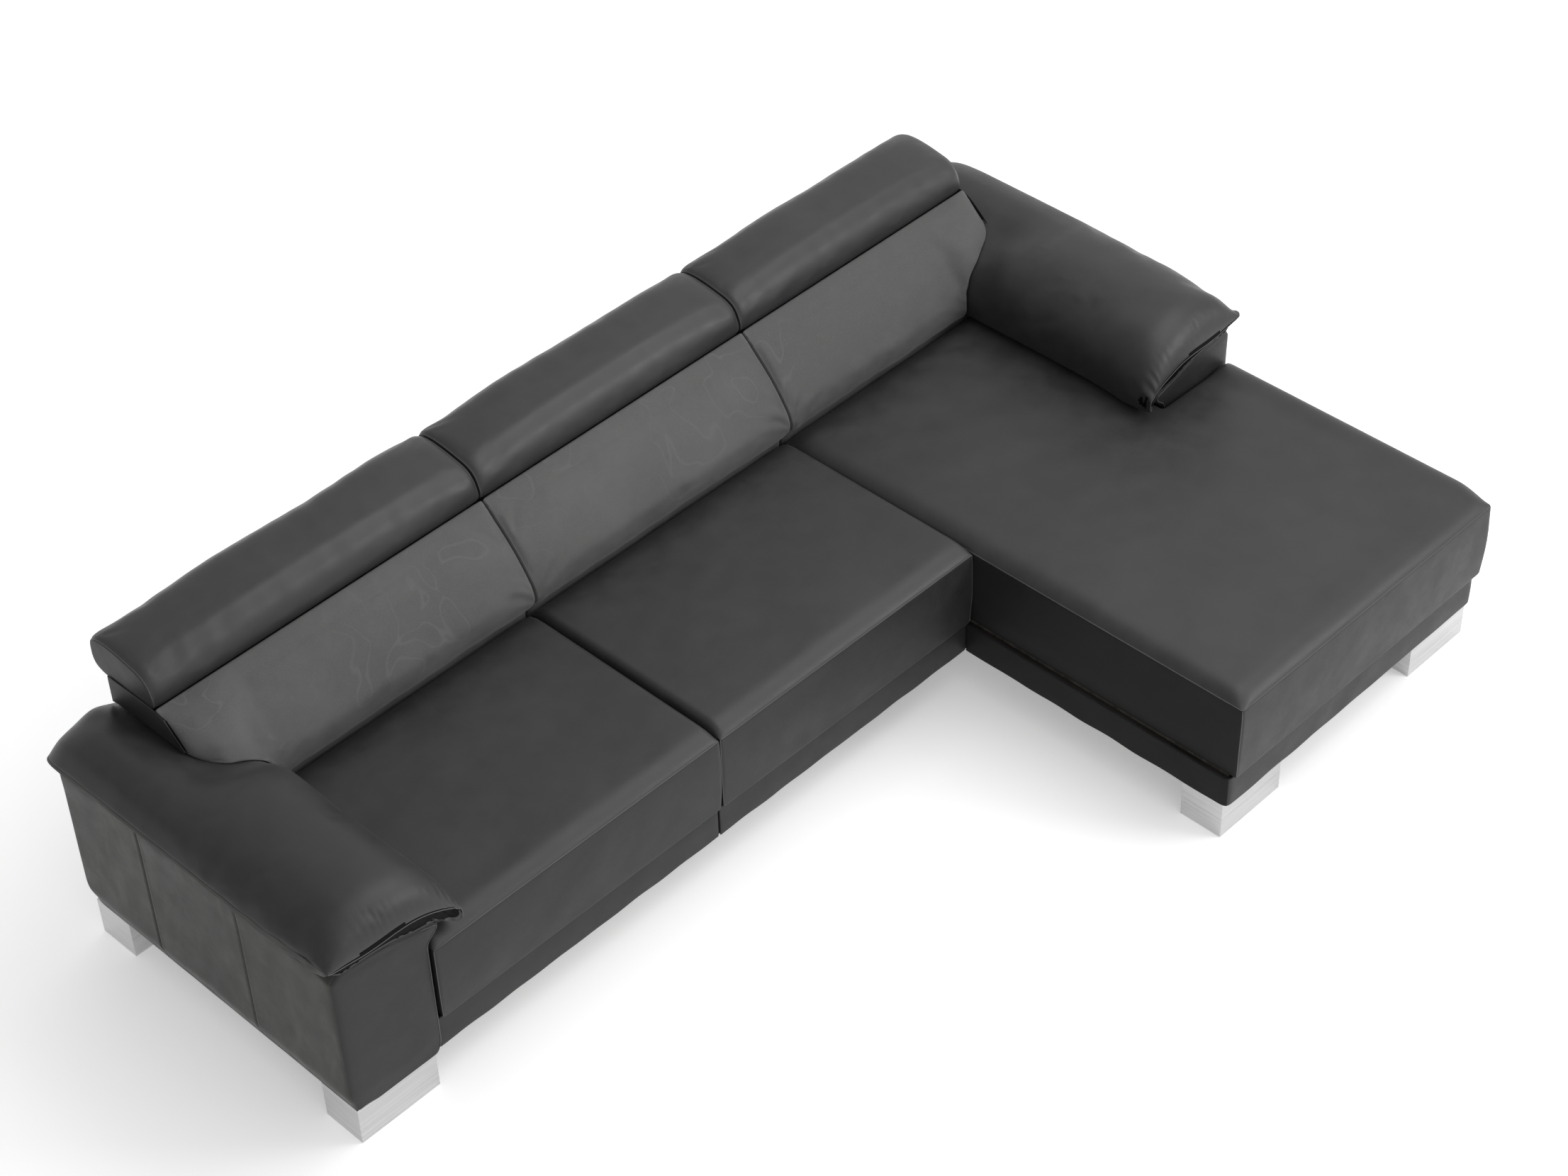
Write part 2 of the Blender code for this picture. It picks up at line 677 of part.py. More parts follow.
def arm_envelope(side, name):
    """A cutter with the outline of arm and pad, for what lies against them at the back."""
    far = -LIP_OVERHANG - CUT_OVERRUN
    inner = ARM_WIDTH + SOFT_GAP
    top = grown(pad_top(1, 1), SOFT_GAP)
    flare = arm_point(ARM_BODY_SHARES[ARM_FLARE_POINT])[1]
    outline = [(far, top[0][1])] + top + [(top[-1][0], flare), (inner, flare), (inner, 0), (far, 0)]
    placed = [(side * (HALF_WIDTH - u), z) for u, z in outline]
    start = Y_BACK - BACK_BULGE - CUT_OVERRUN
    end = Y_REAR + CUT_OVERRUN
    return flat(f"arm_{name}_envelope", placed, start, end, ALONG_Y, None)


# Backs

def head_outline(top_share=1.0, scale=1.0):
    """Points of a headrest's end outline about its pivot, as distances behind and above it."""
    centre = ((HEAD_BEHIND - HEAD_AHEAD) / 2, (HEAD_ABOVE - HEAD_BELOW) / 2)
    points = []
    for behind, above in HEAD_SHARES:
        y = behind * (HEAD_BEHIND if behind > 0 else HEAD_AHEAD)
        z = above * (HEAD_ABOVE * top_share if above > 0 else HEAD_BELOW)
        points.append((centre[0] + (y - centre[0]) * scale, centre[1] + (z - centre[1]) * scale))
    return points


NOSE_RADIUS = max(hypot(y, z) for y, z in head_outline() if y < 0) + NOSE_CLEARANCE


def groove():
    """The hollow behind a back cushion's top edge, in which the headrest's nose turns."""
    start = pi + atan2(HEAD_BELOW - BACK_TOP_LIFT, NOSE_RADIUS)
    end = 3 * pi / 2
    steps = [start + (end - start) * i / GROOVE_STEPS for i in range(GROOVE_STEPS)]
    return [(Y_PIVOT + NOSE_RADIUS * cos(a), Z_PIVOT + NOSE_RADIUS * sin(a)) for a in steps]


def back_outline():
    """The back cushion's outline in its middle, from its front foot up and round."""
    turned = groove()
    front = Y_BACK - BACK_BULGE
    lean = turned[0][0] - front
    rise = turned[0][1] - Z_CROWN
    face = Y_BACK + BACK_FOOT_GAP
    foot = Z_CUSHION + SHADOW_GAP
    points = [(face, foot), (face, Z_SEAM)]
    points += [(front + y * lean, Z_CROWN + z * rise) for y, z in BACK_FRONT_SHARES]
    points += turned
    (toe_y, toe_z), (bend_y, bend_z) = back_frame_outline()[:2]
    lean_share = (foot - toe_z) / (bend_z - toe_z)
    behind = bend_y - SOFT_GAP
    heel = toe_y - SOFT_GAP + (bend_y - toe_y) * lean_share
    return points + [(behind, turned[-1][1]), (behind, bend_z), (heel, foot)]


def back_frame_outline():
    """A leaning board with a beam along its top, seen from the side."""
    foot = Z_DECK + DECK_THICKNESS + GAP
    start = Y_BEAM_REAR - FRAME_FOOT_AHEAD
    shoulder = Z_BEAM - BEAM_HEIGHT - FRAME_BOARD
    return [
        (start, foot), (Y_BEAM, shoulder), (Y_BEAM, Z_BEAM), (Y_BEAM_REAR, Z_BEAM),
        (Y_BEAM_REAR, Z_BEAM - BEAM_HEIGHT), (Y_BEAM + FRAME_BOARD, shoulder),
        (start + FRAME_BOARD, foot),
    ]


def back_cushion(name, x_start, x_end, ears, envelope):
    """A back cushion, drawn in at both ends, with a lobe that lies on the arm where it meets one."""
    outline = back_outline()
    bulge = [0, 0, *EAR_LOBE_SHARES] + [0] * (len(outline) - 2 - len(EAR_LOBE_SHARES))
    anchor = (back_frame_outline()[0][0] - SOFT_GAP, Z_CROWN)
    plain = [(step * BACK_END_ROUND, 0, share) for step, share in BACK_END_SHARES]
    eared = [(step * EAR_LOBE_WIDTH, lobe, share) for step, lobe, share in EAR_LOBE_ENDS]
    start, end = (eared if ear else plain for ear in ears)
    places = [(x_start + step, lobe, share) for step, lobe, share in start]
    places += [((x_start + x_end) / 2, 0, 0)]
    places += [(x_end - step, lobe, share) for step, lobe, share in reversed(end)]
    rings = []
    for x, lobe, share in places:
        keep = (1 - BACK_DRAW_SHARE * share, 1 - BACK_TOP_DRAW_SHARE * share)
        rings.append([
            (
                x,
                anchor[0] + (y - anchor[0]) * keep[0] - EAR_LOBE * lobe * out,
                anchor[1] + (z - anchor[1]) * keep[1],
            )
            for (y, z), out in zip(outline, bulge)
        ])
    cushion = loft(f"back_{name}_cushion", rings, "back_leather")
    if envelope:
        combine(cushion, envelope, "DIFFERENCE")


def back_cover(name, x_start, x_end, envelope, cheek_at):
    """The leather over the back of the sofa, turned forward along its top."""
    low = Z_BASE + GAP
    turn = Y_BEAM + BRACKET_SETBACK + BRACKET_FOOT_DEPTH + GAP
    under = Z_COVER - COVER
    outline = [
        (Y_REAR, low), (Y_REAR, Z_COVER), (turn, Z_COVER), (turn, under),
        (Y_REAR - COVER, under), (Y_REAR - COVER, low),
    ]
    cover = flat(f"back_{name}_cover", outline, x_start, x_end, ALONG_X, "back_leather")
    if envelope:
        inward = COVER if cheek_at < 0 else -COVER
        end = x_start if cheek_at < 0 else x_end
        reach = sorted((end, end + inward))
        cheek = block(
            f"back_{name}_cheek",
            (reach[0], Y_BEAM + SOFT_GAP, Z_ARM),
            (reach[1], Y_REAR - COVER / 2, Z_COVER - COVER / 2),
            None,
        )
        combine(cover, cheek, "UNION")
        combine(cover, envelope, "DIFFERENCE")


def back(name, x_start, x_end, ears, envelope, cheek_at):
    """Frame, cover and cushion of one back, the last two reaching over the arm as ears."""
    frame = back_frame_outline()
    beside_pad = PAD_WIDTH - LIP_OVERHANG - ARM_WIDTH - ARM_GAP
    clear = [beside_pad + SOFT_GAP if ear else GAP for ear in ears]
    flat(f"back_{name}_frame", frame, x_start + clear[0], x_end - clear[1], ALONG_X, "timber")
    start = x_start - ears[0] + SOFT_GAP
    end = x_end + ears[1] - SOFT_GAP
    back_cover(name, start, end, envelope, cheek_at)
    back_cushion(name, start, end, ears, envelope)
    headrest(name, start, end)


# Headrests

def eye(steps, first, last):
    """Points round a hinge eye between two angles, as distances behind and above the pivot."""
    angles = [first + (last - first) * i / steps for i in range(steps + 1)]
    return [(EYE_RADIUS * cos(a), EYE_RADIUS * sin(a)) for a in angles]


def eye_bore(name, x, pivot):
    """A cutter for the hole that the rod runs through."""
    radius = ROD_RADIUS + ROD_CLEARANCE
    return rod(name, radius, BRACKET_FOOT_WIDTH, ROD_SIDES, LYING, (x, 0, 0), None, pivot)


def bracket(name, x, pivot):
    """A steel bracket on the back frame's beam, with an eye for the rod."""
    foot = Z_BEAM + GAP
    front = Y_BEAM + BRACKET_SETBACK
    rear = front + BRACKET_FOOT_DEPTH
    drop = foot - Z_PIVOT
    inside = BRACKET_FOOT / 2
    ahead = front - Y_PIVOT + inside
    behind = rear - Y_PIVOT - inside
    outline = eye(EYE_STEPS, pi / 4, 5 * pi / 4)
    outline += [(ahead, drop + inside), (behind, drop + inside), (behind, drop + BRACKET_FOOT + inside)]
    half = BRACKET_PLATE / 2
    place = (0, Y_PIVOT, Z_PIVOT)
    plate = flat(name, outline, x - half, x + half, ALONG_X, "hinge_steel", place)
    half_foot = BRACKET_FOOT_WIDTH / 2
    low = (x - half_foot, front, foot)
    base = block(name + "_base", low, (x + half_foot, rear, foot + BRACKET_FOOT), None)
    combine(plate, base, "UNION")
    combine(plate, eye_bore(name + "_bore", x - pivot.location.x, pivot), "DIFFERENCE")


def headrest_pad(name, half, hinge, pivot):
    """The headrest's pad, hollowed for its insert and its rod, with a pocket for each hinge."""
    rings = []
    ends = [(step * HEAD_END_ROUND, scale) for step, scale in HEAD_END_SHARES]
    places = [(-half + step, scale) for step, scale in ends] + [(0, 1.0)]
    places += [(half - step, scale) for step, scale in reversed(ends)]
    for x, scale in places:
        top_share = 1 - HEAD_END_DROP_SHARE * abs(x / half) ** 3
        rings.append([(x, y, z) for y, z in head_outline(top_share, scale)])
    pad = loft(f"headrest_{name}_pad", rings, "seat_leather", pivot)
    end = half - INSERT_END + SLOT_GAP
    slot_low = (-end, -INSERT_AHEAD - SLOT_GAP, INSERT_RISE - SLOT_GAP)
    slot_high = (end, INSERT_BEHIND + SLOT_GAP, INSERT_RISE + INSERT_THICKNESS + SLOT_GAP)
    slot = block(f"headrest_{name}_slot", slot_low, slot_high, None, parent=pivot)
    combine(pad, slot, "DIFFERENCE")
    tunnel_radius = ROD_RADIUS + ROD_CLEARANCE
    tunnel = rod(
        f"headrest_{name}_tunnel", tunnel_radius, 2 * hinge, ROD_SIDES, LYING, (0, 0, 0), None, pivot
    )
    combine(pad, tunnel, "DIFFERENCE")
    half_pocket = BRACKET_FOOT_WIDTH / 2 + POCKET_SIDE_GAP
    for side in (-1, 1):
        pocket = block(
            f"headrest_{name}_pocket_{side}",
            (side * hinge - half_pocket, -POCKET_AHEAD, -HEAD_BELOW - CUT_OVERRUN),
            (side * hinge + half_pocket, POCKET_BEHIND, INSERT_RISE),
            None,
            parent=pivot,
        )
        combine(pad, pocket, "DIFFERENCE")


def headrest_insert(name, half, hinge, pivot):
    """The board inside the headrest, with an ear down to the rod beside each bracket."""
    end = half - INSERT_END
    low = (-end, -INSERT_AHEAD, INSERT_RISE)
    high = (end, INSERT_BEHIND, INSERT_RISE + INSERT_THICKNESS)
    insert = block(f"headrest_{name}_insert", low, high, "hinge_steel", parent=pivot)
    outline = eye(EYE_STEPS, pi, 2 * pi)
    outline += [(EYE_RADIUS, INSERT_RISE + EAR_ROOT), (-EYE_RADIUS, INSERT_RISE + EAR_ROOT)]
    for side in (-1, 1):
        near = hinge - BRACKET_PLATE / 2 - GAP
        start, stop = sorted((side * near, side * (near - EAR_PLATE)))
        ear = flat(f"headrest_{name}_ear_{side}", outline, start, stop, ALONG_X, None, pivot.location)
        combine(insert, ear, "UNION")
    for side in (-1, 1):
        combine(insert, eye_bore(f"headrest_{name}_ear_bore_{side}", side * hinge, pivot), "DIFFERENCE")


def headrest(name, x_start, x_end):
    """One headrest about its pivot, with the two brackets that carry it."""
    half = (x_end - x_start) / 2 - HEAD_END_GAP
    hinge = half - HINGE_INSET
    pivot = bpy.data.objects.new(f"headrest_{name}_axis", None)
    bpy.data.collections["leather_corner_sofa"].objects.link(pivot)
    pivot.location = ((x_start + x_end) / 2, Y_PIVOT, Z_PIVOT)
    bpy.context.view_layer.update()
    headrest_pad(name, half, hinge, pivot)
    headrest_insert(name, half, hinge, pivot)
    length = 2 * (hinge + BRACKET_PLATE / 2 + ROD_OVERRUN)
    middle = (0, 0, 0)
    rod(f"headrest_{name}_rod", ROD_RADIUS, length, ROD_SIDES, LYING, middle, "hinge_steel", pivot)
    for end, side in (("left", -1), ("right", 1)):
        bracket(f"headrest_{name}_bracket_{end}", pivot.location.x + side * hinge, pivot)


def build():
    """Model the whole sofa."""
    clear_scene()
    legs()
    feet()
    arm_side = X_LEFT + ARM_WIDTH + GAP
    seat_base("left", arm_side, X_MIDDLE - GAP / 2, False)
    seat_base("middle", X_MIDDLE + GAP / 2, X_CHAISE, True)
    chaise_base()
    decks()
    plinths()
    seat_cushions()
    envelopes = {}
    for side, name in ((-1, "left"), (1, "right")):
        arm_body(side, name)
        arm_frame(side, name)
        arm_pad(side, name)
        envelopes[name] = arm_envelope(side, name)
    back("left", X_SEAT, X_MIDDLE, (BACK_EAR, 0), envelopes["left"], -1)
    back("middle", X_MIDDLE, X_CHAISE, (0, 0), None, 0)
    back("chaise", X_CHAISE, X_RIGHT_ARM, (0, BACK_EAR), envelopes["right"], 1)


build()
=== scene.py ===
"""Looks of the leather corner sofa: cushions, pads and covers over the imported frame."""

import math

import bmesh
import bpy
import numpy as np
from mathutils import Matrix, Vector, kdtree


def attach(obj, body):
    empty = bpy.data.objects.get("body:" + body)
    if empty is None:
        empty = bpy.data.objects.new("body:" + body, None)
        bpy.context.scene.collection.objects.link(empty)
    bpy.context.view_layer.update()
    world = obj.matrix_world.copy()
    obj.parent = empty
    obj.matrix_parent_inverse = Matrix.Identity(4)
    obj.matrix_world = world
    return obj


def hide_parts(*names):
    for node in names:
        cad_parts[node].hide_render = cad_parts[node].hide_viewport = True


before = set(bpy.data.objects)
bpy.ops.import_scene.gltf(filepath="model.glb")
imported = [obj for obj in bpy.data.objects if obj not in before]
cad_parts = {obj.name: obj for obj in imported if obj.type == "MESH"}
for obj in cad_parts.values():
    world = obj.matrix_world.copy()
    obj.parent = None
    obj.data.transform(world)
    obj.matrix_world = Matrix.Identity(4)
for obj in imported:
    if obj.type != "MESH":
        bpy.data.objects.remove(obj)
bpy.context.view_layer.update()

# Places of the frame, in metres
X_OUTER = 1.4445
X_SEAT, X_MIDDLE, X_CHAISE, X_ARM = -1.2005, -0.3555, 0.4895, 1.2005
Y_CHAISE, Y_ARM, Y_SEAT, Y_BACK, Y_REAR, Y_ARM_REAR = -0.857, -0.075, -0.063, 0.537, 0.837, 0.843
Z_BASE, Z_PLINTH, Z_CUSHION, Z_SEAM, Z_ARM, Z_COVER = 0.105, 0.195, 0.199, 0.420, 0.551, 0.683
PIVOT = np.array((0.742, 0.715))
EAR_END = 0.1525
CLEAR = 0.0008  # room between a piece and its neighbour
HALF_JOINT = 0.0004  # half the gap between two modules
SAME = 1e-6  # places closer than this are one


def tenths(*lengths):
    """Lengths or pairs of them, written in tenths of a millimetre."""
    return np.array(lengths) / 10000


# Outlines: the back cushion and the headrest as (y, z), arm and pad as (inward, z)
BACK = tenths(
    (5430, 2030), (5430, 3100), (5430, 4200), (5320, 4532), (5117, 4652), (5030, 4886), (5088, 5194),
    (5282, 5529), (5572, 5938), (5894, 6304), (6231, 6632), (6493, 6856), (6678, 6952), (6739, 6796),
    (6831, 6657), (6952, 6541), (7095, 6454), (7254, 6400), (7665, 6400), (7665, 6037), (7209, 4030),
    (6752, 2030),
)
HEAD = tenths(
    (-599, -310), (-690, -217), (-722, -15), (-700, 179), (-625, 388), (-491, 576), (-277, 705),
    (53, 785), (452, 858), (878, 886), (1200, 830), (1420, 665), (1500, 360), (1465, -10),
    (1315, -205), (1060, -300), (825, -310), (690, -310), (-260, -310),
)
ARM = tenths(
    (1150, 1050), (2215, 1050), (2300, 1085), (2330, 1180), (2340, 1500), (2352, 2100), (2375, 3012),
    (2380, 3700), (2382, 4261), (2451, 4440), (2611, 4591), (2680, 4779), (2582, 5019), (2047, 5251),
    (1666, 5376), (1190, 5465), (524, 5510), (107, 5443), (0, 5242), (0, 4600), (0, 3280), (0, 2000),
    (0, 1350), (12, 1130), (40, 1075), (110, 1050),
)
PAD_FULL = tenths(
    (-310, 5790), (-290, 6080), (-70, 6350), (450, 6500), (1050, 6545), (1650, 6520), (2200, 6410),
    (2650, 6210), (2930, 5900), (3080, 5450), (3130, 4950), (3080, 4600), (2940, 4515),
)
PAD_END = tenths(
    (-225, 5800), (-60, 5745), (245, 5690), (685, 5620), (1133, 5600), (1517, 5605), (1997, 5570),
    (2445, 5445), (2830, 5265), (3120, 5080), (3260, 4880), (3210, 4700), (3060, 4640),
)
PAD_UNDER = tenths(
    (2693, 4629), (2693, 4789), (2595, 5035), (2060, 5267), (1679, 5392), (1203, 5481), (537, 5526),
    (100, 5460),
)
STRIP_UNDER = tenths(
    (2930, 4700), (2840, 4800), (2700, 4940), (2060, 5080), (1679, 5200), (1203, 5290), (537, 5340),
    (120, 5370),
)
CHEEK_TOP = tenths(
    (5740, 6170), (5850, 6330), (6190, 6640), (6465, 6850), (6640, 6905), (6780, 6890), (8360, 6885),
)
# How far in the arm and its pad reach at each height, for what lies against them
ARM_REACH = tenths(
    (2000, 2445), (4000, 2445), (4480, 2960), (4600, 3105), (4950, 3155), (5450, 3105), (5900, 2955),
    (6210, 2680), (6410, 2235), (6520, 1700), (6550, 1525), (7000, 1525),
)
# The lobes of the back over the left and the right arm: how far forward at each distance from
# their ends, and the share of it at each height
LOBE = {
    -1: tenths((0, -150), (105, 120), (370, 365), (640, 520), (1020, 520), (1360, 380), (1700, 120),
               (2000, 0)),
    1: tenths((0, -120), (105, 60), (270, 210), (520, 300), (1040, 375), (1450, 220), (1700, 80),
              (2000, 0)),
}
LOBE_UP = (
    (0.4900, 0), (0.5250, 0.35), (0.5560, 0.95), (0.5800, 1.0), (0.6250, 1.0), (0.6600, 0.70),
    (0.6856, 0.28), (0.6952, 0),
)
PAD_REAR = Y_ARM_REAR + 0.010
# How deep the ends of the back press into the left and the right pad, and how far their rims
# stand out
DENT = {-1: 0.048, 1: 0.030}
PAD_RIM = {-1: 0.006, 1: 0.001}


# Numbers

def quarter(share):
    """The height over a quarter circle: 0 at 0 and 1 at 1 and beyond."""
    inward = 1 - np.clip(share, 0, 1)
    return np.sqrt(1 - inward * inward)


def ease(share):
    """0 up to 0 and 1 from 1 on, smoothly between."""
    share = np.clip(share, 0, 1)
    return share * share * (3 - 2 * share)


def hump(share):
    """1 at 0, falling smoothly to 0 at 1 and beyond."""
    share = np.clip(np.abs(share), 0, 1)
    return (1 - share * share) ** 2


def between(value, table):
    """The table's value at these places, on a smooth curve that stays between its numbers."""
    at, to = (np.array(column, float) for column in zip(*table))
    slope = np.diff(to) / np.diff(at)
    tangent = np.zeros(len(at))
    product = np.maximum(slope[:-1] * slope[1:], 0)
    tangent[1:-1] = 2 * product / np.where(product > 0, slope[:-1] + slope[1:], 1)
    i = np.clip(np.searchsorted(at, value) - 1, 0, len(at) - 2)
    width = at[i + 1] - at[i]
    t = np.clip((value - at[i]) / width, 0, 1)
    rise = 3 * t**2 - 2 * t**3
    lean = tangent[i] * (t**3 - 2 * t**2 + t) + tangent[i + 1] * (t**3 - t**2)
    return to[i] + (to[i + 1] - to[i]) * rise + width * lean


def waves(points, lengths, seed, count=7):
    """Smooth unevenness between about -1 and 1, with these typical lengths along the axes."""
    draw = np.random.default_rng(seed)
    total = np.zeros(points.shape[:-1])
    for _ in range(count):
        way = draw.normal(size=points.shape[-1])
        way *= draw.uniform(0.7, 1.5) * 2 * math.pi / np.linalg.norm(way) / np.asarray(lengths)
        total += np.sin(points @ way + draw.uniform(0, 2 * math.pi))
    return total / math.sqrt(count)


def folds(points, *layers):
    """Layers of waves added up, each given as its height and what waves() asks for."""
    return sum(height * waves(points, *layer) for height, *layer in layers)


def unit(rows):
    """These vectors, each scaled to a length of 1."""
    return rows / np.maximum(np.linalg.norm(rows, axis=1)[:, None], 1e-9)


def stacked(*columns):
    """Points from their coordinates, of which single numbers hold for all the points."""
    return np.stack(np.broadcast_arrays(*columns), 1)


def ordered(chosen, along):
    """The numbers of the chosen points, in order along this coordinate."""
    numbers = np.nonzero(chosen)[0]
    return numbers[np.argsort(along[numbers], kind="stable")]


def steps_between(start, end, near, spacing):
    """Places from start to end: close together by both ends, then at about this spacing."""
    near = [d for d in near if d < (end - start) / 2 - spacing * 0.7]
    inner = end - start - 2 * near[-1]
    count = max(1, round(inner / spacing))
    middle = [near[-1] + inner * i / count for i in range(1, count)]
    return np.array([start + d for d in near + middle] + [end - d for d in reversed(near)])


def knots(points, spacing):
    """Segment numbers and shares of a closed outline, resampled evenly. Their number is even."""
    seg, t = [], []
    for i, (start, end) in enumerate(zip(points, np.roll(points, -1, 0))):
        step = spacing(start, end) if callable(spacing) else spacing
        count = max(1, round(np.linalg.norm(end - start) / step))
        seg += [i] * count
        t += [k / count for k in range(count)]
    seg, t = np.array(seg), np.array(t)
    if len(seg) % 2:
        i = int(np.argmax(seg == seg[len(seg) // 2]))
        t = np.insert(t, i + 1, (t[i] + (t[i + 1] if t[i + 1] > t[i] else 1)) / 2)
        seg = np.insert(seg, i + 1, seg[i])
    return seg, t


def through(points, where):
    """A smooth closed line through the points, at the given knots."""
    seg, t = where
    ahead = np.roll(points, -1, 0) - points
    length = np.linalg.norm(ahead, axis=1)[:, None]
    slope = ahead / length
    before, shorter = np.roll(slope, 1, 0), np.roll(length, 1, 0)
    tangent = (slope * shorter + before * length) / (shorter + length) * np.minimum(length, shorter)
    after = (seg + 1) % len(points)
    a, b, ta, tb = points[seg], points[after], tangent[seg], tangent[after]
    t = t[:, None]
    return (
        a * (2 * t**3 - 3 * t**2 + 1) + ta * (t**3 - 2 * t**2 + t)
        + b * (3 * t**2 - 2 * t**3) + tb * (t**3 - t**2)
    )


def inwards(loop):
    """Unit vectors pointing into a closed flat outline."""
    run = np.roll(loop, -1, 0) - np.roll(loop, 1, 0)
    normal = unit(np.stack([-run[:, 1], run[:, 0]], 1))
    x, y = loop.T
    area = np.sum(x * np.roll(y, -1) - np.roll(x, -1) * y)
    return normal if area > 0 else -normal


def resample(line, spacing):
    """Points along a line at an even spacing."""
    gaps = np.linalg.norm(np.diff(line, axis=0), axis=1)
    along = np.concatenate([[0], np.cumsum(gaps)])
    places = np.linspace(0, along[-1], max(2, int(along[-1] / spacing) + 1))
    return np.stack([np.interp(places, along, column) for column in line.T], 1)


# Meshes

plans = {}


def add(name, points, faces, slot, body="sofa", replaces=(), fill=None):
    """A closed mesh as a piece of the sofa. finish_piece() gives it its place and its finish."""
    mesh = bpy.data.meshes.new(name)
    mesh.from_pydata(np.asarray(points).tolist(), [], faces)
    bm = bmesh.new()
    bm.from_mesh(mesh)
    bmesh.ops.recalc_face_normals(bm, faces=bm.faces)
    bm.to_mesh(mesh)
    bm.free()
    mesh.shade_smooth()
    obj = bpy.data.objects.new(name, mesh)
    bpy.context.scene.collection.objects.link(obj)
    plans[name] = (slot, body, replaces, fill)
    return obj


def tube(name, rings, slot, **plan):
    """A piece of quads over an array of rings, with both ends zipped shut across."""
    rings = np.asarray(rings)
    last, count = len(rings) - 1, rings.shape[1]
    faces = []
    for low in range(0, last * count, count):
        for p in range(count):
            q = (p + 1) % count
            faces.append((low + p, low + q, low + count + q, low + count + p))
    for base in (0, last * count):
        for p in range(count // 2 - 1):
            faces.append((base + p, base + p + 1, base + count - 2 - p, base + count - 1 - p))
    return add(name, rings.reshape(-1, 3), faces, slot, **plan)


def capped(rings, cap):
    """The rings with the loops of both caps, and the number of the first ring. cap(ring, end)
    gives a cap's loops from its rim inwards."""
    low, high = cap(rings[0], 0), cap(rings[-1], -1)
    return np.array(low[::-1] + rings + high), len(low)


def shrunk(ring, centre, share):
    """A ring round X, drawn in towards a centre (y, z)."""
    return np.column_stack([ring[:, 0], centre + (ring[:, 1:] - centre) * share])


def coordinates(mesh):
    values = np.empty(len(mesh.vertices) * 3, np.float32)
    mesh.vertices.foreach_get("co", values)
    return values.reshape(-1, 3).astype(float)


def slab(xs, ys, top, inside):
    """An extruded plan grid: (x, y, level) of its points, and its faces. Top and bottom are full."""
    number, points, faces = {}, [], []

    def at(i, j, k):
        if (i, j, k) not in number:
            number[i, j, k] = len(points)
            points.append((xs[i], ys[j], k))
        return number[i, j, k]

    cells = {
        (i, j) for i in range(len(xs) - 1) for j in range(len(ys) - 1)
        if inside((xs[i] + xs[i + 1]) / 2, (ys[j] + ys[j + 1]) / 2)
    }
    for i, j in sorted(cells):
        corners = [(i, j), (i + 1, j), (i + 1, j + 1), (i, j + 1)]
        faces.append([at(a, b, top) for a, b in corners])
        faces.append([at(a, b, 0) for a, b in reversed(corners)])
        for side, cell in enumerate([(i, j - 1), (i + 1, j), (i, j + 1), (i - 1, j)]):
            if cell in cells:
                continue
            a, b = corners[side], corners[(side + 1) % 4]
            for k in range(top):
                faces.append([at(*a, k), at(*b, k), at(*b, k + 1), at(*a, k + 1)])
    return np.array(points), faces


# Padding: each of these pieces swells from its seams in one cloth simulation

PRESSURE = 4.0
SWELL_FRAMES, SWELL_GROUP = 18, "held"
CLOTH = {
    "quality": 5, "mass": 0.3, "tension_stiffness": 25, "compression_stiffness": 12,
    "shear_stiffness": 8, "bending_stiffness": 0.6, "air_damping": 4, "vertex_group_mass": SWELL_GROUP,
    "pin_stiffness": 1, "use_pressure": True, "uniform_pressure_force": PRESSURE,
}
to_swell = []


def swell(obj, held, cap, slack, keep=None):
    """Note a piece for the simulation. held is 1 where a point stays and 0 where it is free."""
    to_swell.append((obj, held.ravel(), cap, slack, keep))


def run_swelling():
    scene = bpy.context.scene
    for obj, held, _, slack, _ in to_swell:
        group = obj.vertex_groups.new(name=SWELL_GROUP)
        for level in np.unique(np.round(held, 2)):
            if level > 0:
                group.add(np.nonzero(np.round(held, 2) == level)[0].tolist(), float(level), "REPLACE")
        cloth = obj.modifiers.new("padding", "CLOTH")
        for key, value in CLOTH.items():
            setattr(cloth.settings, key, value)
        cloth.settings.shrink_min = -slack
        cloth.settings.effector_weights.gravity = 0
        cloth.collision_settings.use_collision = False
        cloth.point_cache.frame_start, cloth.point_cache.frame_end = 1, SWELL_FRAMES
    for number in range(1, SWELL_FRAMES + 1):
        scene.frame_set(number)
    graph = bpy.context.evaluated_depsgraph_get()
    swollen = [coordinates(piece[0].evaluated_get(graph).data) for piece in to_swell]
    for (obj, held, cap, _, keep), after in zip(to_swell, swollen):
        obj.modifiers.remove(obj.modifiers["padding"])
        obj.vertex_groups.clear()
        before = coordinates(obj.data)
        move = after - before
        size = np.linalg.norm(move, axis=1)[:, None]
        move *= cap * np.tanh(size / cap) / np.maximum(size, 1e-9)
        after = before + move * (1 - held[:, None])
        after = keep(after) if keep else after
        obj.data.vertices.foreach_set("co", np.asarray(after, np.float32).ravel())
        obj.data.update()
    scene.frame_set(1)


# Finish of a piece: subdivision, seam distance, material and its place in the sofa

SEAM_SPACING = 0.004
SEAM_REACH = 0.005
materials = {}


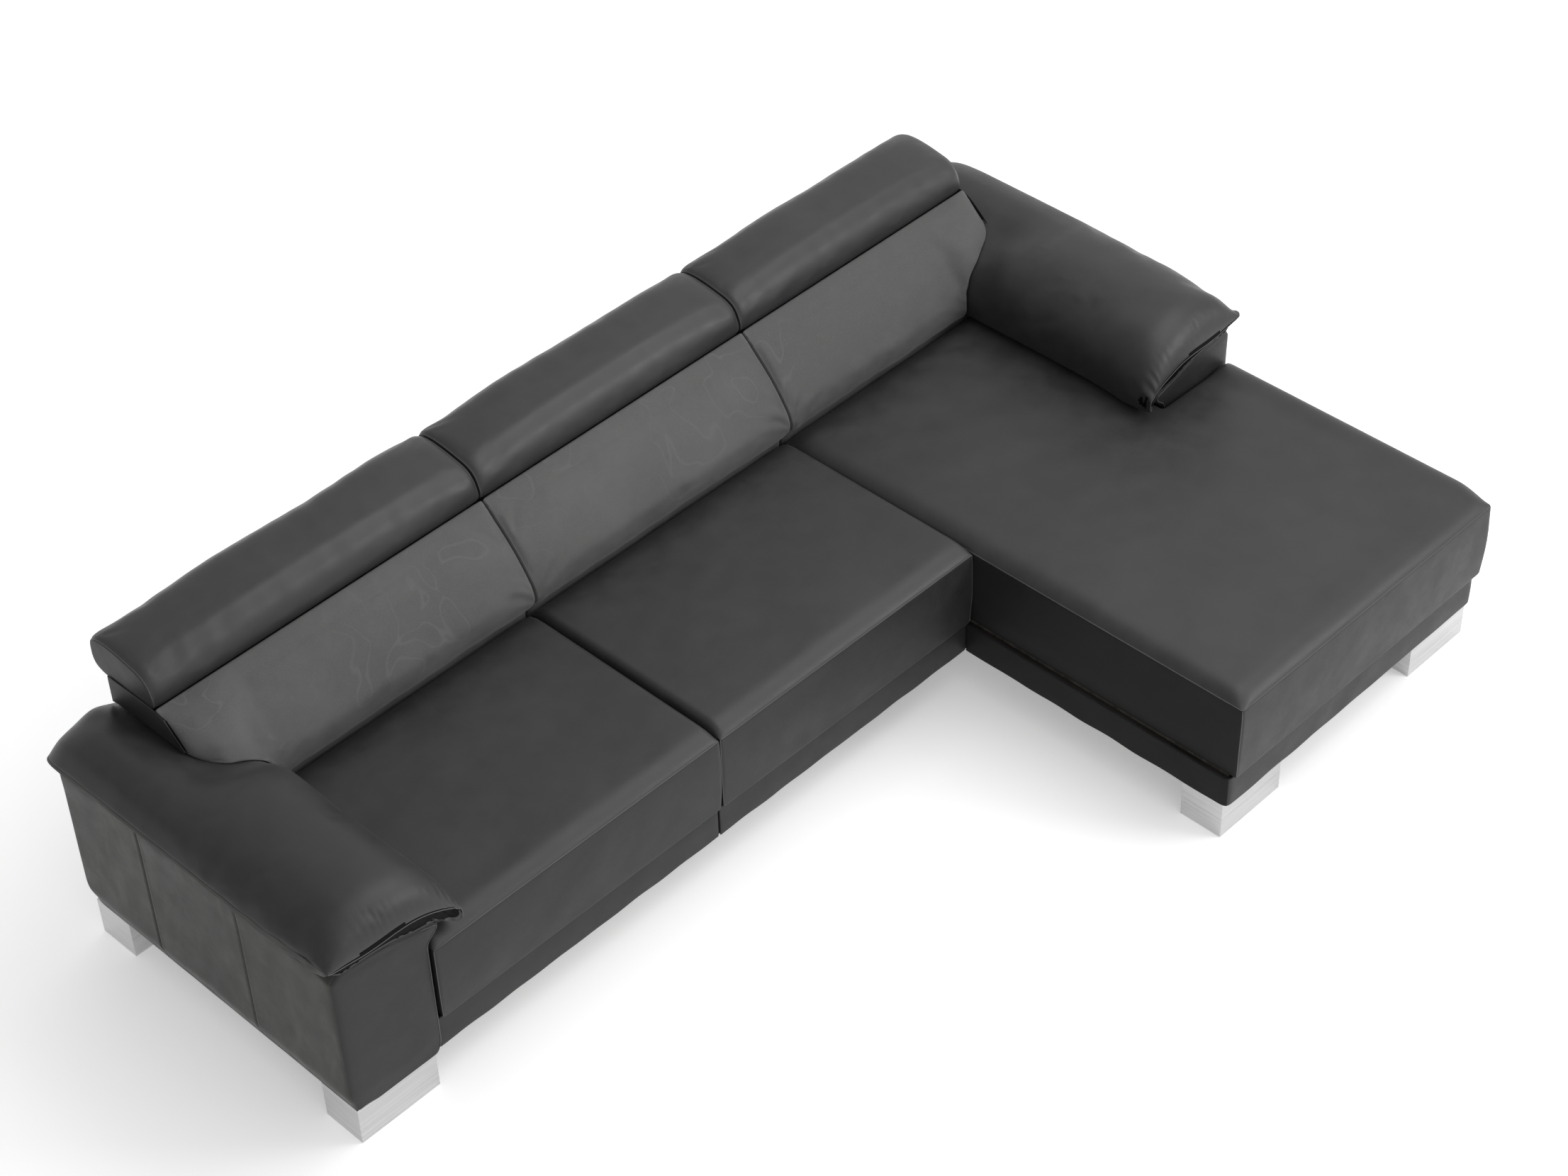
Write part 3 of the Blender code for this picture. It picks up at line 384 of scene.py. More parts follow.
def finish_piece(obj, material, levels=1, seams=()):
    slot, body, replaces, fill = plans.pop(obj.name)
    if levels:
        modifier = obj.modifiers.new("smooth", "SUBSURF")
        modifier.levels = modifier.render_levels = levels
        graph = bpy.context.evaluated_depsgraph_get()
        mesh = bpy.data.meshes.new_from_object(obj.evaluated_get(graph))
        obj.modifiers.clear()
        old, obj.data = obj.data, mesh
        mesh.name = obj.name
        bpy.data.meshes.remove(old)
    mesh = obj.data
    mesh.shade_smooth()
    points = coordinates(mesh)
    near = np.zeros(len(points), np.float32)
    if seams:
        dense = np.concatenate([resample(points[row], SEAM_SPACING) for row in seams])
        tree = kdtree.KDTree(len(dense))
        for i, point in enumerate(dense):
            tree.insert(point, i)
        tree.balance()
        near = np.array([math.exp(-((tree.find(p)[2] / SEAM_REACH) ** 2)) for p in points], np.float32)
    mesh.attributes.new("seam", "FLOAT", "POINT").data.foreach_set("value", near)
    mesh.materials.clear()
    mesh.materials.append(materials[material])
    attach(obj, body)
    if replaces:
        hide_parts(*replaces)
    return coordinates(mesh)


def dress(obj, material, chosen):
    """Give the faces that chosen(centre, normal) picks one more material."""
    mesh = obj.data
    mesh.materials.append(materials[material])
    for face in mesh.polygons:
        if chosen(face.center, face.normal):
            face.material_index = len(mesh.materials) - 1


# Pipings and welts default to the lighter edge leather, a painted highlight along the seams.
def sweep(name, paths, slot, radius=0.0010, body="sofa", material="highlight_edge_leather", closed=False,
          sides=6):
    """Thin round threads or pipings along these lines, as one mesh."""
    points, faces = [], []
    for line in paths:
        ahead = np.roll(line, -1, 0) - np.roll(line, 1, 0) if closed else np.gradient(line, axis=0)
        ahead = unit(ahead)
        side = unit(np.cross(ahead, (0.31, 0.17, 0.93)))
        over = np.cross(side, ahead)
        base, count = len(points), len(line)
        for i in range(count):
            taper = 1.0 if closed or 0 < i < count - 1 else 0.55
            for s in range(sides):
                angle = 2 * math.pi * s / sides
                offset = side[i] * math.cos(angle) + over[i] * math.sin(angle)
                points.append(line[i] + offset * radius * taper)
        for i in range(count if closed else count - 1):
            low, high = base + i * sides, base + ((i + 1) % count) * sides
            for s in range(sides):
                t = (s + 1) % sides
                faces.append((low + s, low + t, high + t, high + s))
        if not closed:
            for ring in (base, base + (count - 1) * sides):
                faces.append(tuple(range(ring, ring + sides)))
    finish_piece(add(name, points, faces, slot, body), material, 0)


STITCH, STITCH_PITCH, THREAD, STEP = 0.0055, 0.0080, 0.00055, 0.001


def stitches(name, lines, slot):
    """Short threads along these lines, half sunk into the leather."""
    paths = []
    for line in lines:
        dense = resample(line, STEP)
        for k in range(int((len(dense) - 1) * STEP / STITCH_PITCH)):
            start = int((k + 0.5) * STITCH_PITCH / STEP)
            stop = min(len(dense) - 1, start + int(STITCH / STEP))
            if stop - start >= 3:
                paths.append(dense[[start, (start + stop) // 2, stop]])
    sweep(name, paths, slot, THREAD, material="thread", sides=5)


# Materials

class Graph:
    """A node tree in the making. An input is a number, a colour or another node's output."""

    def __init__(self, owner):
        owner.use_nodes = True
        self.tree = owner.node_tree

    def fill(self, made, inputs):
        for key, value in inputs.items():
            if isinstance(value, bpy.types.NodeSocket):
                self.tree.links.new(value, made.inputs[key])
            else:
                made.inputs[key].default_value = value

    def node(self, kind, inputs=None, **settings):
        made = self.tree.nodes.new("ShaderNode" + kind)
        for key, value in settings.items():
            setattr(made, key, value)
        self.fill(made, inputs or {})
        return made

    def shader(self, inputs):
        self.fill(self.tree.nodes["Principled BSDF"], inputs)

    def mapped(self, scale):
        where = self.node("TexCoord").outputs["Object"]
        return self.node("Mapping", {"Scale": scale, "Vector": where}).outputs["Vector"]

    def noise(self, vector, scale, detail=3.0, rough=0.5, distortion=0.0):
        inputs = {"Vector": vector, "Scale": scale, "Detail": detail, "Roughness": rough,
                  "Distortion": distortion}
        return self.node("TexNoise", inputs).outputs["Fac"]

    def ramp(self, value, low, high, start, end):
        """The value mapped from low..high to start..end, smoothly and clamped."""
        inputs = {"Value": value, "From Min": low, "From Max": high, "To Min": start, "To Max": end}
        return self.node("MapRange", inputs, interpolation_type="SMOOTHSTEP").outputs["Result"]

    def maths(self, operation, *values):
        return self.node("Math", dict(enumerate(values)), operation=operation).outputs["Value"]

    def mix(self, factor, first, second):
        first, second = ((*c, 1) if isinstance(c, tuple) else c for c in (first, second))
        return self.node("Mix", {0: factor, 6: first, 7: second}, data_type="RGBA").outputs[2]

    def bump(self, strength, distance, height, normal=None):
        inputs = {"Strength": strength, "Distance": distance, "Height": height}
        if normal:
            inputs["Normal"] = normal
        return self.node("Bump", inputs).outputs["Normal"]


def leather(name, dark, light, rough, gloss, grain=0.25, worn=0.35, mottle=0.5, veins=0.0, sheen=0.05,
            patches=0.0, fuzz=0.0):
    """Dyed leather: grain, uneven dye, a painted highlight along its seams, and where asked veins or a nap.
    """
    def lighter(factor, tint=(1.0, 1.0, 1.0)):
        return tuple(c * factor * t for c, t in zip(light, tint))

    materials[name] = bpy.data.materials.new(name)
    g = Graph(materials[name])
    plain = g.mapped((1, 1, 1))
    large, middle = g.noise(plain, 2.6, 2.0, 0.55), g.noise(plain, 16.0, 4.0, 0.6)
    fine = g.noise(plain, 420.0, 3.0, 0.65)
    cells = g.node("TexVoronoi", {"Scale": 620.0, "Randomness": 1.0, "Vector": plain},
                   feature="DISTANCE_TO_EDGE")
    creases = g.ramp(cells.outputs["Distance"], 0.0, 0.22, 0.0, 1.0)
    tone = g.maths("MULTIPLY_ADD", large, mottle, g.maths("MULTIPLY", middle, 1 - mottle))
    colour = g.mix(g.ramp(tone, 0.36, 0.66, 0.0, 1.0), dark, light)
    colour = g.mix(g.ramp(fine, 0.48, 0.80, 0.0, grain + fuzz), colour, lighter(1.22))
    if patches:
        cloudy = g.noise(g.mapped((1.0, 6.5, 2.6)), 1.7, 3.0, 0.6, 0.6)
        colour = g.mix(g.ramp(cloudy, 0.46, 0.72, 0.0, patches), colour, lighter(1.75, (1.0, 0.985, 0.93)))
    if veins:
        curl = g.noise(plain, 6.5, 1.5, 0.45, 0.9)
        line = g.maths("ABSOLUTE", g.maths("SUBTRACT", curl, 0.5), 0.0)
        gate = g.ramp(g.noise(plain, 2.1, 1.0), 0.42, 0.58, 0.0, 1.0)
        strength = g.maths("MULTIPLY", g.ramp(line, 0.0, 0.014, veins, 0.0), gate)
        colour = g.mix(strength, colour, lighter(1.35))
    seam = g.node("Attribute", attribute_name="seam").outputs["Fac"]
    uneven = g.maths("ADD", g.ramp(middle, 0.3, 0.7, -0.05, 0.05), g.ramp(creases, 0.0, 1.0, 0.07, 0.0))
    height = g.maths("ADD", g.maths("MULTIPLY", creases, 0.6), g.maths("MULTIPLY", fine, 0.55))
    pores = g.bump(0.22, 0.0006, height)
    g.shader({
        # Lighter near the seams: a painted highlight of the seam rims.
        "Base Color": g.mix(g.maths("MULTIPLY", seam, worn), colour, lighter(1.9)),
        "Roughness": g.maths("ADD", uneven, rough),
        "Specular IOR Level": gloss,
        "Sheen Weight": sheen,
        "Sheen Roughness": 0.45,
        "Sheen Tint": (0.85, 0.86, 0.88, 1),
        "Normal": g.bump(0.30, 0.004, g.noise(plain, 9.0, 3.0, 0.55), pores),
    })


def plain_material(name, dark, light, rough, metallic=0.0, scale=(1, 1, 1), size=60.0, bumpy=0.0):
    """A hard surface: two tones by a stretched noise, with uneven roughness."""
    materials[name] = bpy.data.materials.new(name)
    g = Graph(materials[name])
    value = g.noise(g.mapped(scale), size, 4.0, 0.6)
    g.shader({
        "Base Color": g.mix(g.ramp(value, 0.32, 0.68, 0.0, 1.0), dark, light),
        "Roughness": g.ramp(value, 0.3, 0.7, rough - 0.08, rough + 0.08),
        "Metallic": metallic,
    })
    if bumpy:
        g.shader({"Normal": g.bump(bumpy, 0.0008, value)})


leather("seat_leather", (0.0205, 0.0205, 0.0204), (0.0285, 0.0285, 0.0282), 0.355, 0.45)
# The seat leather made darker and less glossy for faces turned to the front and for end panels: painted
# shade.
leather("shaded_front_leather", (0.014, 0.014, 0.0139), (0.0195, 0.0195, 0.0192), 0.42, 0.25)
leather("rest_leather", (0.022, 0.022, 0.022), (0.0295, 0.0295, 0.0292), 0.335, 0.48)
leather("back_leather", (0.062, 0.062, 0.061), (0.086, 0.086, 0.085), 0.56, 0.40, grain=0.6, veins=0.36,
        sheen=0.20, fuzz=0.25)
leather("arm_leather", (0.0175, 0.0175, 0.0173), (0.0245, 0.0245, 0.0241), 0.345, 0.45)
leather("panel_leather", (0.0195, 0.0193, 0.0176), (0.0275, 0.0271, 0.0247), 0.43, 0.25, patches=0.85)
# A darker, less glossy copy of the seat leather for the low plinths: painted shade.
leather("plinth_leather", (0.015, 0.015, 0.0148), (0.0205, 0.0205, 0.02), 0.42, 0.25)
# The seat leather made much darker and nearly matt for faces turned to the left and for end faces: painted
# shade.
leather("shaded_side_leather", (0.0095, 0.0095, 0.0095), (0.0135, 0.0135, 0.0133), 0.46, 0.08, sheen=0.0)
# Near-black leather for the strip below the pads' front seams: painted shadow under the overhang.
leather("painted_shadow_leather", (0.004, 0.004, 0.004), (0.0065, 0.0065, 0.0064), 0.50, 0.03, sheen=0.0)
# A much lighter leather for pipings, welts and lips: painted highlight along their rims.
leather("highlight_edge_leather", (0.060, 0.060, 0.058), (0.088, 0.088, 0.084), 0.46, 0.45)
plain_material("thread", (0.16, 0.16, 0.155), (0.23, 0.23, 0.22), 0.6, size=900.0)
# Near-black timber for the rails and frames, so the gaps between the pieces read dark: painted shade.
plain_material("shade_dark_timber", (0.014, 0.012, 0.010), (0.030, 0.026, 0.022), 0.62, 0.0, (1, 1, 14), 7.0,
               0.3)
plain_material("webbing", (0.06, 0.055, 0.05), (0.13, 0.12, 0.105), 0.85, 0.0, (40, 40, 1), 1.0, 0.5)
plain_material("leg_steel", (0.52, 0.52, 0.52), (0.61, 0.61, 0.61), 0.34, 1.0, (1, 1, 60), 3.0, 0.05)
plain_material("hinge_steel", (0.24, 0.24, 0.25), (0.40, 0.40, 0.41), 0.42, 1.0, (8, 1, 1), 30.0, 0.1)
plain_material("foot_plastic", (0.012, 0.012, 0.012), (0.028, 0.028, 0.028), 0.55, size=300.0, bumpy=0.2)

for node_name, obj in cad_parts.items():
    kind = obj.data.materials[0].name.split(".")[0] if obj.data.materials else ""
    if node_name.startswith("leg_"):
        kind = "leg_steel"
    elif node_name.startswith("foot_"):
        kind = "foot_plastic"
    # rails and frames take the near-black timber: painted shade in the gaps
    elif node_name.endswith(("_rail", "_frame")):
        kind = "shade_dark_timber"
    elif node_name.endswith("_deck"):
        kind = "webbing"
    elif "bracket" in node_name or node_name.endswith(("_insert", "_rod")):
        kind = "hinge_steel"
    if kind in materials:
        for place in obj.material_slots:
            place.material = materials[kind]


# Seat cushions

SEAT_NEAR = [0, 0.0025, 0.006, 0.010, 0.015, 0.021, 0.028, 0.037, 0.048, 0.062]
NOTCH_NEAR = [-0.05, -0.035, -0.022, -0.012, -0.005, 0, 0.02]
OPEN_EDGE, JOINT_EDGE, NOTCH_EDGE = 0.054, 0.020, 0.016
EDGE_LEAN, OUTER_LEAN = math.radians(55), math.radians(76)
CUSHION_CORNER, CUSHION_FOOT = 0.0075, 0.010
BOXING_LOW, BOXING = Z_CUSHION + CUSHION_FOOT, Z_SEAM - Z_CUSHION - CUSHION_FOOT
BOXING_STEPS = tenths(0, 20, 60, 140, 280, 480, 750, 1050, 1350, 1620, 1830, 1970, 2050, 2085)
CROWN, BELLY = 0.0245, 0.0045


def roll(gap, width, steep=EDGE_LEAN):
    """Height over a panel's rolled edge: 0 at its seam and 1 from this width inwards."""
    lean = math.sin(steep) * (1 - np.clip(gap / width, 0, 1))
    return (np.sqrt(1 - lean * lean) - math.cos(steep)) / (1 - math.cos(steep))


def spread(gap, edge):
    """Even steps near the edge turned into even steps round its curve."""
    return np.where(gap < edge, edge * (1 - np.cos(np.pi * gap / 2 / edge)), gap)


def seat_cushion(name, x0, x1, y0, seed, free=(False, False), notch=None):
    """A foam cushion in leather: crowned top panel, seamed round its edge to a boxing."""
    y1 = Y_BACK
    xs, ys = steps_between(x0, x1, SEAT_NEAR, 0.017), steps_between(y0, y1, SEAT_NEAR, 0.017)
    if notch:
        xs, ys = (
            sorted([at for at in places if abs(at - bend + 0.015) > 0.043] + [bend + d for d in NOTCH_NEAR])
            for places, bend in ((xs, notch[0]), (ys, notch[1]))
        )
    notch_x, notch_y = notch or (math.inf, math.inf)
    top = len(BOXING_STEPS)
    plan, faces = slab(xs, ys, top, lambda x, y: not (x > notch_x and y > notch_y))
    x, y, k = plan[:, 0], plan[:, 1], plan[:, 2].astype(int)
    on_top, on_bottom = k == top, k == 0
    side = ~(on_top | on_bottom)
    cx, cy, hx, hy = (x0 + x1) / 2, (y0 + y1) / 2, (x1 - x0) / 2, (y1 - y0) / 2
    gaps = np.array([hx - np.abs(x - cx), hy - np.abs(y - cy)])
    (gap_x, gap_y), gap = gaps, gaps.min(0)
    signs = np.sign([x - cx, y - cy])
    away = np.hypot(np.maximum(notch_x - x, 0), np.maximum(notch_y - y, 0))

    # rounded upright corners
    gaps = np.where(on_bottom, spread(gaps, CUSHION_FOOT), gaps)
    near = np.clip(1 - gaps / CUSHION_CORNER, 0, 1)
    pull = np.where((near > 0).all(0), near.max(0) / np.maximum(np.hypot(*near), 1e-9), 1)
    gaps = gaps + (1 - pull) * near * CUSHION_CORNER
    plan_x, plan_y = cx + signs[0] * (hx - gaps[0]), cy + signs[1] * (hy - gaps[1])

    edges = [OPEN_EDGE if is_free else JOINT_EDGE for is_free in free]
    lift = roll(gap_x, np.where(x < cx, *edges))
    if free[1]:
        lift = np.where(x > cx, roll(gap_x, OPEN_EDGE, OUTER_LEAN), lift)
    lift = lift * roll(gap_y, OPEN_EDGE) * roll(away, NOTCH_EDGE)
    crown = np.clip((1 - ((x - cx) / hx) ** 2) * (1 - ((y - cy) / hy) ** 2), 0, 1)
    heights = np.append(0, BOXING_LOW + BOXING_STEPS / BOXING_STEPS[-1] * BOXING)
    z = np.where(side, heights[k], Z_SEAM + CROWN * lift + BELLY * crown**0.8)
    rise = np.sin(np.pi / 2 * np.clip(gap / CUSHION_FOOT, 0, 1))
    z = np.where(on_bottom, Z_CUSHION + CUSHION_FOOT * (1 - rise), z)

    # the boxing draws in towards its foot and bulges a little where nothing holds it
    share = np.clip((z - Z_CUSHION - CUSHION_FOOT) / BOXING, 0, 1)
    bulge = np.where(side, 0.0034 * np.sin(np.pi * share), 0)
    draw = np.where(on_top, 0, 0.004 * (1 - share) ** 2)
    dip = np.where(on_bottom, 0, 0.0012 * hump(np.where(side, Z_SEAM - z, gap) / 0.004))
    out = bulge - draw - dip
    towards = unit((signs * near).T)
    points = stacked(plan_x + towards[:, 0] * out, plan_y + towards[:, 1] * out, z)
    full = hump(gap_x / 0.075) * (x > cx) * ease((y - y0) / 0.10) * ease((share - 0.45) / 0.5)
    points += np.outer(full * ~on_bottom * free[1], (0.0100, 0, 0.0095))

    # the notch's walls stand clear of the arm and meet in a fillet
    on_x, on_y = np.abs(x - notch_x) < SAME, np.abs(y - notch_y) < SAME
    beside = on_x & (y > notch_y - SAME) | on_y & (x > notch_x - SAME)
    fillet = 0.0085 * hump(np.hypot(x - notch_x, y - notch_y) / 0.034)
    points[:, :2] += np.where(beside, fillet, 0)[:, None]
    points[:, :2] -= 0.001 * stacked(beside & on_x, beside & on_y)

    settled = ease(gap / 0.10) * on_top
    slack = folds(points[:, :2], (0.0016, (0.42, 0.36), seed), (0.0004, (0.10, 0.12), seed + 50))
    points[:, 2] += slack * settled
    facing = side & (signs[1] < 0) & (near[1] > 0.5)
    ripples = 0.0010 * waves(points[:, [0, 2]], (0.16, 0.22), seed + 9)
    points[:, 1] += ripples * np.where(facing, ease(np.minimum(share, 1 - share) / 0.2), 0)

    # the seams, as far as they show
    edge, at_front = on_top & (gap < SAME), np.abs(y - y0) < SAME
    ends = [np.abs(x - at) < SAME for at in (x0, x1)]
    rows = [ordered(edge & at_front, x)]
    rows += [
        ordered(edge & end & ((x < cx) | (y < notch_y + SAME)), y)
        for end, is_free in zip(ends, free) if is_free
    ]
    rows += [ordered(end & at_front, k) for end in ends]

    hidden = (np.abs(y - y0) > 0.02) & ~(free[0] & ends[0]) & ~(free[1] & ends[1])
    held = np.where(on_bottom | side & (hidden | (share > 0.985)), 1.0, hump(gap / 0.004) * on_top)
    held = np.maximum(held, hump(away / 0.02))

    def keep(p):
        p[:, 0] = np.clip(p[:, 0], x0, x1 + (0.014 if free[1] else 0))
        p[:, 1] = np.clip(p[:, 1], y0 - 0.004, y1)
        return p

    name = f"seat_{name}_cushion"
    obj = add(f"{name}_soft", points, faces, "seat_leather", replaces=[name], fill=0.85)
    swell(obj, held, 0.004, 0.004, keep)
    return obj, rows


# Back cushions

BACK_NEAR = [0, 0.001, 0.003, 0.006, 0.010, 0.015, 0.021, 0.028, 0.037, 0.048, 0.062, 0.08]
BACK_FAR = [0.095, 0.11, 0.126, 0.142, 0.16, 0.18, 0.20]
BACK_MIDDLE = np.array((0.62, 0.44))
REACH_HEIGHTS = np.linspace(0.20, 0.70, 126)
REACH = between(REACH_HEIGHTS, ARM_REACH)


def pressed(inward, z, y, side):
    """How far down the end of the back presses this point of an arm pad."""
    return DENT[side] * ease((y - 0.40) / 0.12) * ease((inward - 0.05) / 0.16) * ease((z - 0.48) / 0.14)


def ends_at(x0, x1, ears, z, y, room):
    """The places of a back's two ends at these heights and depths, this far from what they meet."""
    ends = []
    for side, x, ear in zip((-1, 1), (x0, x1), ears):
        if ear:
            reach = [
                np.interp(height, REACH_HEIGHTS - pressed(REACH, REACH_HEIGHTS, depth, side), REACH)
                for height, depth in zip(z, y)
            ]
            x = side * (X_OUTER - np.array(reach))
        ends.append(x - side * room + np.zeros(len(z)))
    return ends


def sections(low, high, near_low, near_high, spacing):
    """Sections between two ends, close together by both: place, distance from its end, end."""
    start, stop = low + near_low[-1], high - near_high[-1]
    count = round(float((stop - start).min()) / spacing)
    inner = [(start + (stop - start) * i / count, 1, 2) for i in range(1, count)]
    return [(low + d, d, 0) for d in near_low] + inner + [(high - d, d, 1) for d in reversed(near_high)]


def back_spacing(a, b):
    y, z = (a + b) / 2
    if y < 0.7 and 0.585 < z < 0.70:
        return 0.0045
    return 0.0075 if y < 0.7 and z > 0.43 else 0.02


def back_cushion(name, x0, x1, ears, seed):
    """A back cushion: one sheet from its foot over its full belly to the headrest's groove."""
    outline = through(BACK, knots(BACK, back_spacing))
    inner = inwards(outline)
    y, z = outline.T
    near = [BACK_NEAR + BACK_FAR if ear else BACK_NEAR for ear in ears]
    front = np.clip(hump((y - 0.56) / 0.13) * 1.6, 0, 1) * ease((z - 0.2) / 0.1) * (y <= 0.672)
    rings = []
    for x, d, end in sections(*ends_at(x0, x1, ears, z, y, CLEAR), *near, 0.019):
        radius, depth = (0.012, 0.007) if end < 2 and ears[end] else (0.026, 0.0125)
        inset = depth * (1 - quarter(d / radius)) * front + 0.004 * (1 - quarter(d / 0.006)) * (1 - front)
        fade = ease(d / 0.06) * front * ease((0.672 - z) / 0.05)
        soft = folds(stacked(x, z), (0.0016, (0.38, 0.30), seed), (0.0004, (0.09, 0.12), seed + 5))
        section = outline + inner * (inset - soft * fade)[:, None]
        for side, ear in zip((-1, 1), ears):
            if ear:
                lobe = between(X_OUTER - EAR_END - side * x, LOBE[side])
                section[:, 0] -= lobe * between(z, LOBE_UP) * (y < 0.6678)
        rings.append(np.column_stack([x, section]))

    def cap(ring, end):
        loops = [shrunk(ring, BACK_MIDDLE, share) for share in (0.93, 0.75, 0.5)]
        for loop in loops:
            loop[:, 0] = ends_at(x0, x1, ears, loop[:, 2], loop[:, 1], CLEAR)[end]
        return loops

    rings, first = capped(rings, cap)
    held = np.ones(rings.shape[:2])
    held[first + 4:-first - 4] = 1 - front * ease((z - 0.43) / 0.03) * ease((0.680 - z) / 0.02)
    shown = ordered((y < 0.675) & (z > 0.42), z)

    def keep(p):
        p[:, 0] = np.clip(p[:, 0], *ends_at(x0, x1, ears, p[:, 2], p[:, 1], 0.0006))
        return p

    name = f"back_{name}_cushion"
    obj = tube(f"{name}_soft", rings, "back_leather", replaces=[name], fill=0.7)
    swell(obj, held, 0.005, 0.006, keep)
    return obj, [r * len(y) + shown for r in (first + 2, len(rings) - first - 3)]


# Headrests

HEAD_NEAR = [0, 0.002, 0.005, 0.009, 0.014, 0.021, 0.030, 0.042, 0.058, 0.08]
HEAD_MIDDLE = PIVOT + (0.03, 0.022)
HINGE_INSET = 0.168
POCKET_HALF, POCKET_AHEAD, POCKET_BEHIND, POCKET_DEPTH = 0.0225, -0.0260, 0.0690, 0.0450


def headrest(name, x0, x1, seed):
    """A folded headrest: one long roll with a flat panel sewn in at each end."""
    where = knots(HEAD, 0.0085)
    places = steps_between(x0, x1, HEAD_NEAR, 0.018)
    hinges = (x0 + HINGE_INSET, x1 - HINGE_INSET)
    for hinge in hinges:
        places = [x for x in places if abs(abs(x - hinge) - POCKET_HALF) > 0.008]
        places += [hinge - POCKET_HALF, hinge + POCKET_HALF]
    rings = []
    for x in sorted(places):
        d = min(x - x0, x1 - x)
        drop = 1 - 0.15 * abs((x - (x0 + x1) / 2) / ((x1 - x0) / 2)) ** 3
        loop = through(stacked(HEAD[:, 0], HEAD[:, 1] * np.where(HEAD[:, 1] > 0, drop, 1)), where)
        upper = ease((loop[:, 1] + 0.02) / 0.04)
        inset = 0.010 * (1 - quarter(d / 0.030)) + 0.0012 * hump((d - 0.004) / 0.004)
        line = stacked(x, loop[:, 0])
        rear = ease((loop[:, 0] - 0.02) / 0.08) * upper
        soft = 0.0013 * waves(line, (0.34, 0.5), seed) * (0.35 + rear)
        soft = soft + 0.0004 * waves(line, (0.08, 0.2), seed + 4)
        inset = inset * (0.35 + 0.65 * upper) - soft * upper * ease(d / 0.07) + CLEAR
        loop = loop + inwards(loop) * inset[:, None]
        rings.append(stacked(x, *(PIVOT + loop).T))

    def cap(ring, end):
        outward = 1 if end else -1
        return [
            shrunk(ring, HEAD_MIDDLE, share) + (outward * bulge, 0, 0)
            for share, bulge in ((0.97, 0.0002), (0.88, 0.0004), (0.6, 0.0006))
        ]

    rings, first = capped(rings, cap)
    held = np.ones(rings.shape[:2])
    held[first + 4:-first - 4] = 1 - ease((through(HEAD, where)[:, 1] + 0.012) / 0.02)

    def keep(p):
        p[:, 0] = np.clip(p[:, 0], x0 - 0.0006, x1 + 0.0006)
        return p

    name = f"headrest_{name}"
    obj = tube(f"{name}_soft", rings, "seat_leather", body=name, replaces=[f"{name}_pad"], fill=0.8)
    swell(obj, held, 0.004, 0.002, keep)
    count = rings.shape[1]
    around = np.arange(count + 1) % count
    return obj, [r * count + around for r in (first + 1, len(rings) - first - 2)], hinges


def pockets(obj, hinges):
    """Two pockets in a headrest's underside, in which it turns clear of its brackets."""
    bm = bmesh.new()
    bm.from_mesh(obj.data)
    for hinge in hinges:
        chosen = []
        for face in bm.faces:
            x, y, z = face.calc_center_median()
            within = abs(x - hinge) < POCKET_HALF and POCKET_AHEAD < y - PIVOT[0] < POCKET_BEHIND
            if within and z < PIVOT[1] - 0.022 and face.normal.z < -0.7:
                chosen.append(face)
        raised = bmesh.ops.extrude_face_region(bm, geom=chosen)["geom"]
        bmesh.ops.delete(bm, geom=chosen, context="FACES")
        for item in raised:
            if isinstance(item, bmesh.types.BMVert):
                item.co.z = PIVOT[1] - 0.031 + POCKET_DEPTH
    bmesh.ops.recalc_face_normals(bm, faces=bm.faces)
    bm.to_mesh(obj.data)
    bm.free()


# Arms

PAD_FRONT = Y_ARM - 0.018
PAD_AHEAD = [0, 0.0015, 0.004, 0.008, 0.012, 0.016, 0.020, 0.025, 0.031, 0.038, 0.046, 0.055, 0.066, 0.079,
             0.094, 0.111, 0.130, 0.152, 0.177, 0.205, 0.235]
PAD_BEHIND = [0, 0.002, 0.006, 0.012, 0.020, 0.030, 0.043, 0.060]


def narrowed(ring, share):
    """A ring drawn together towards the line midway between its two halves."""
    mean = (ring + ring[::-1]) / 2
    return mean + (ring - mean) * share


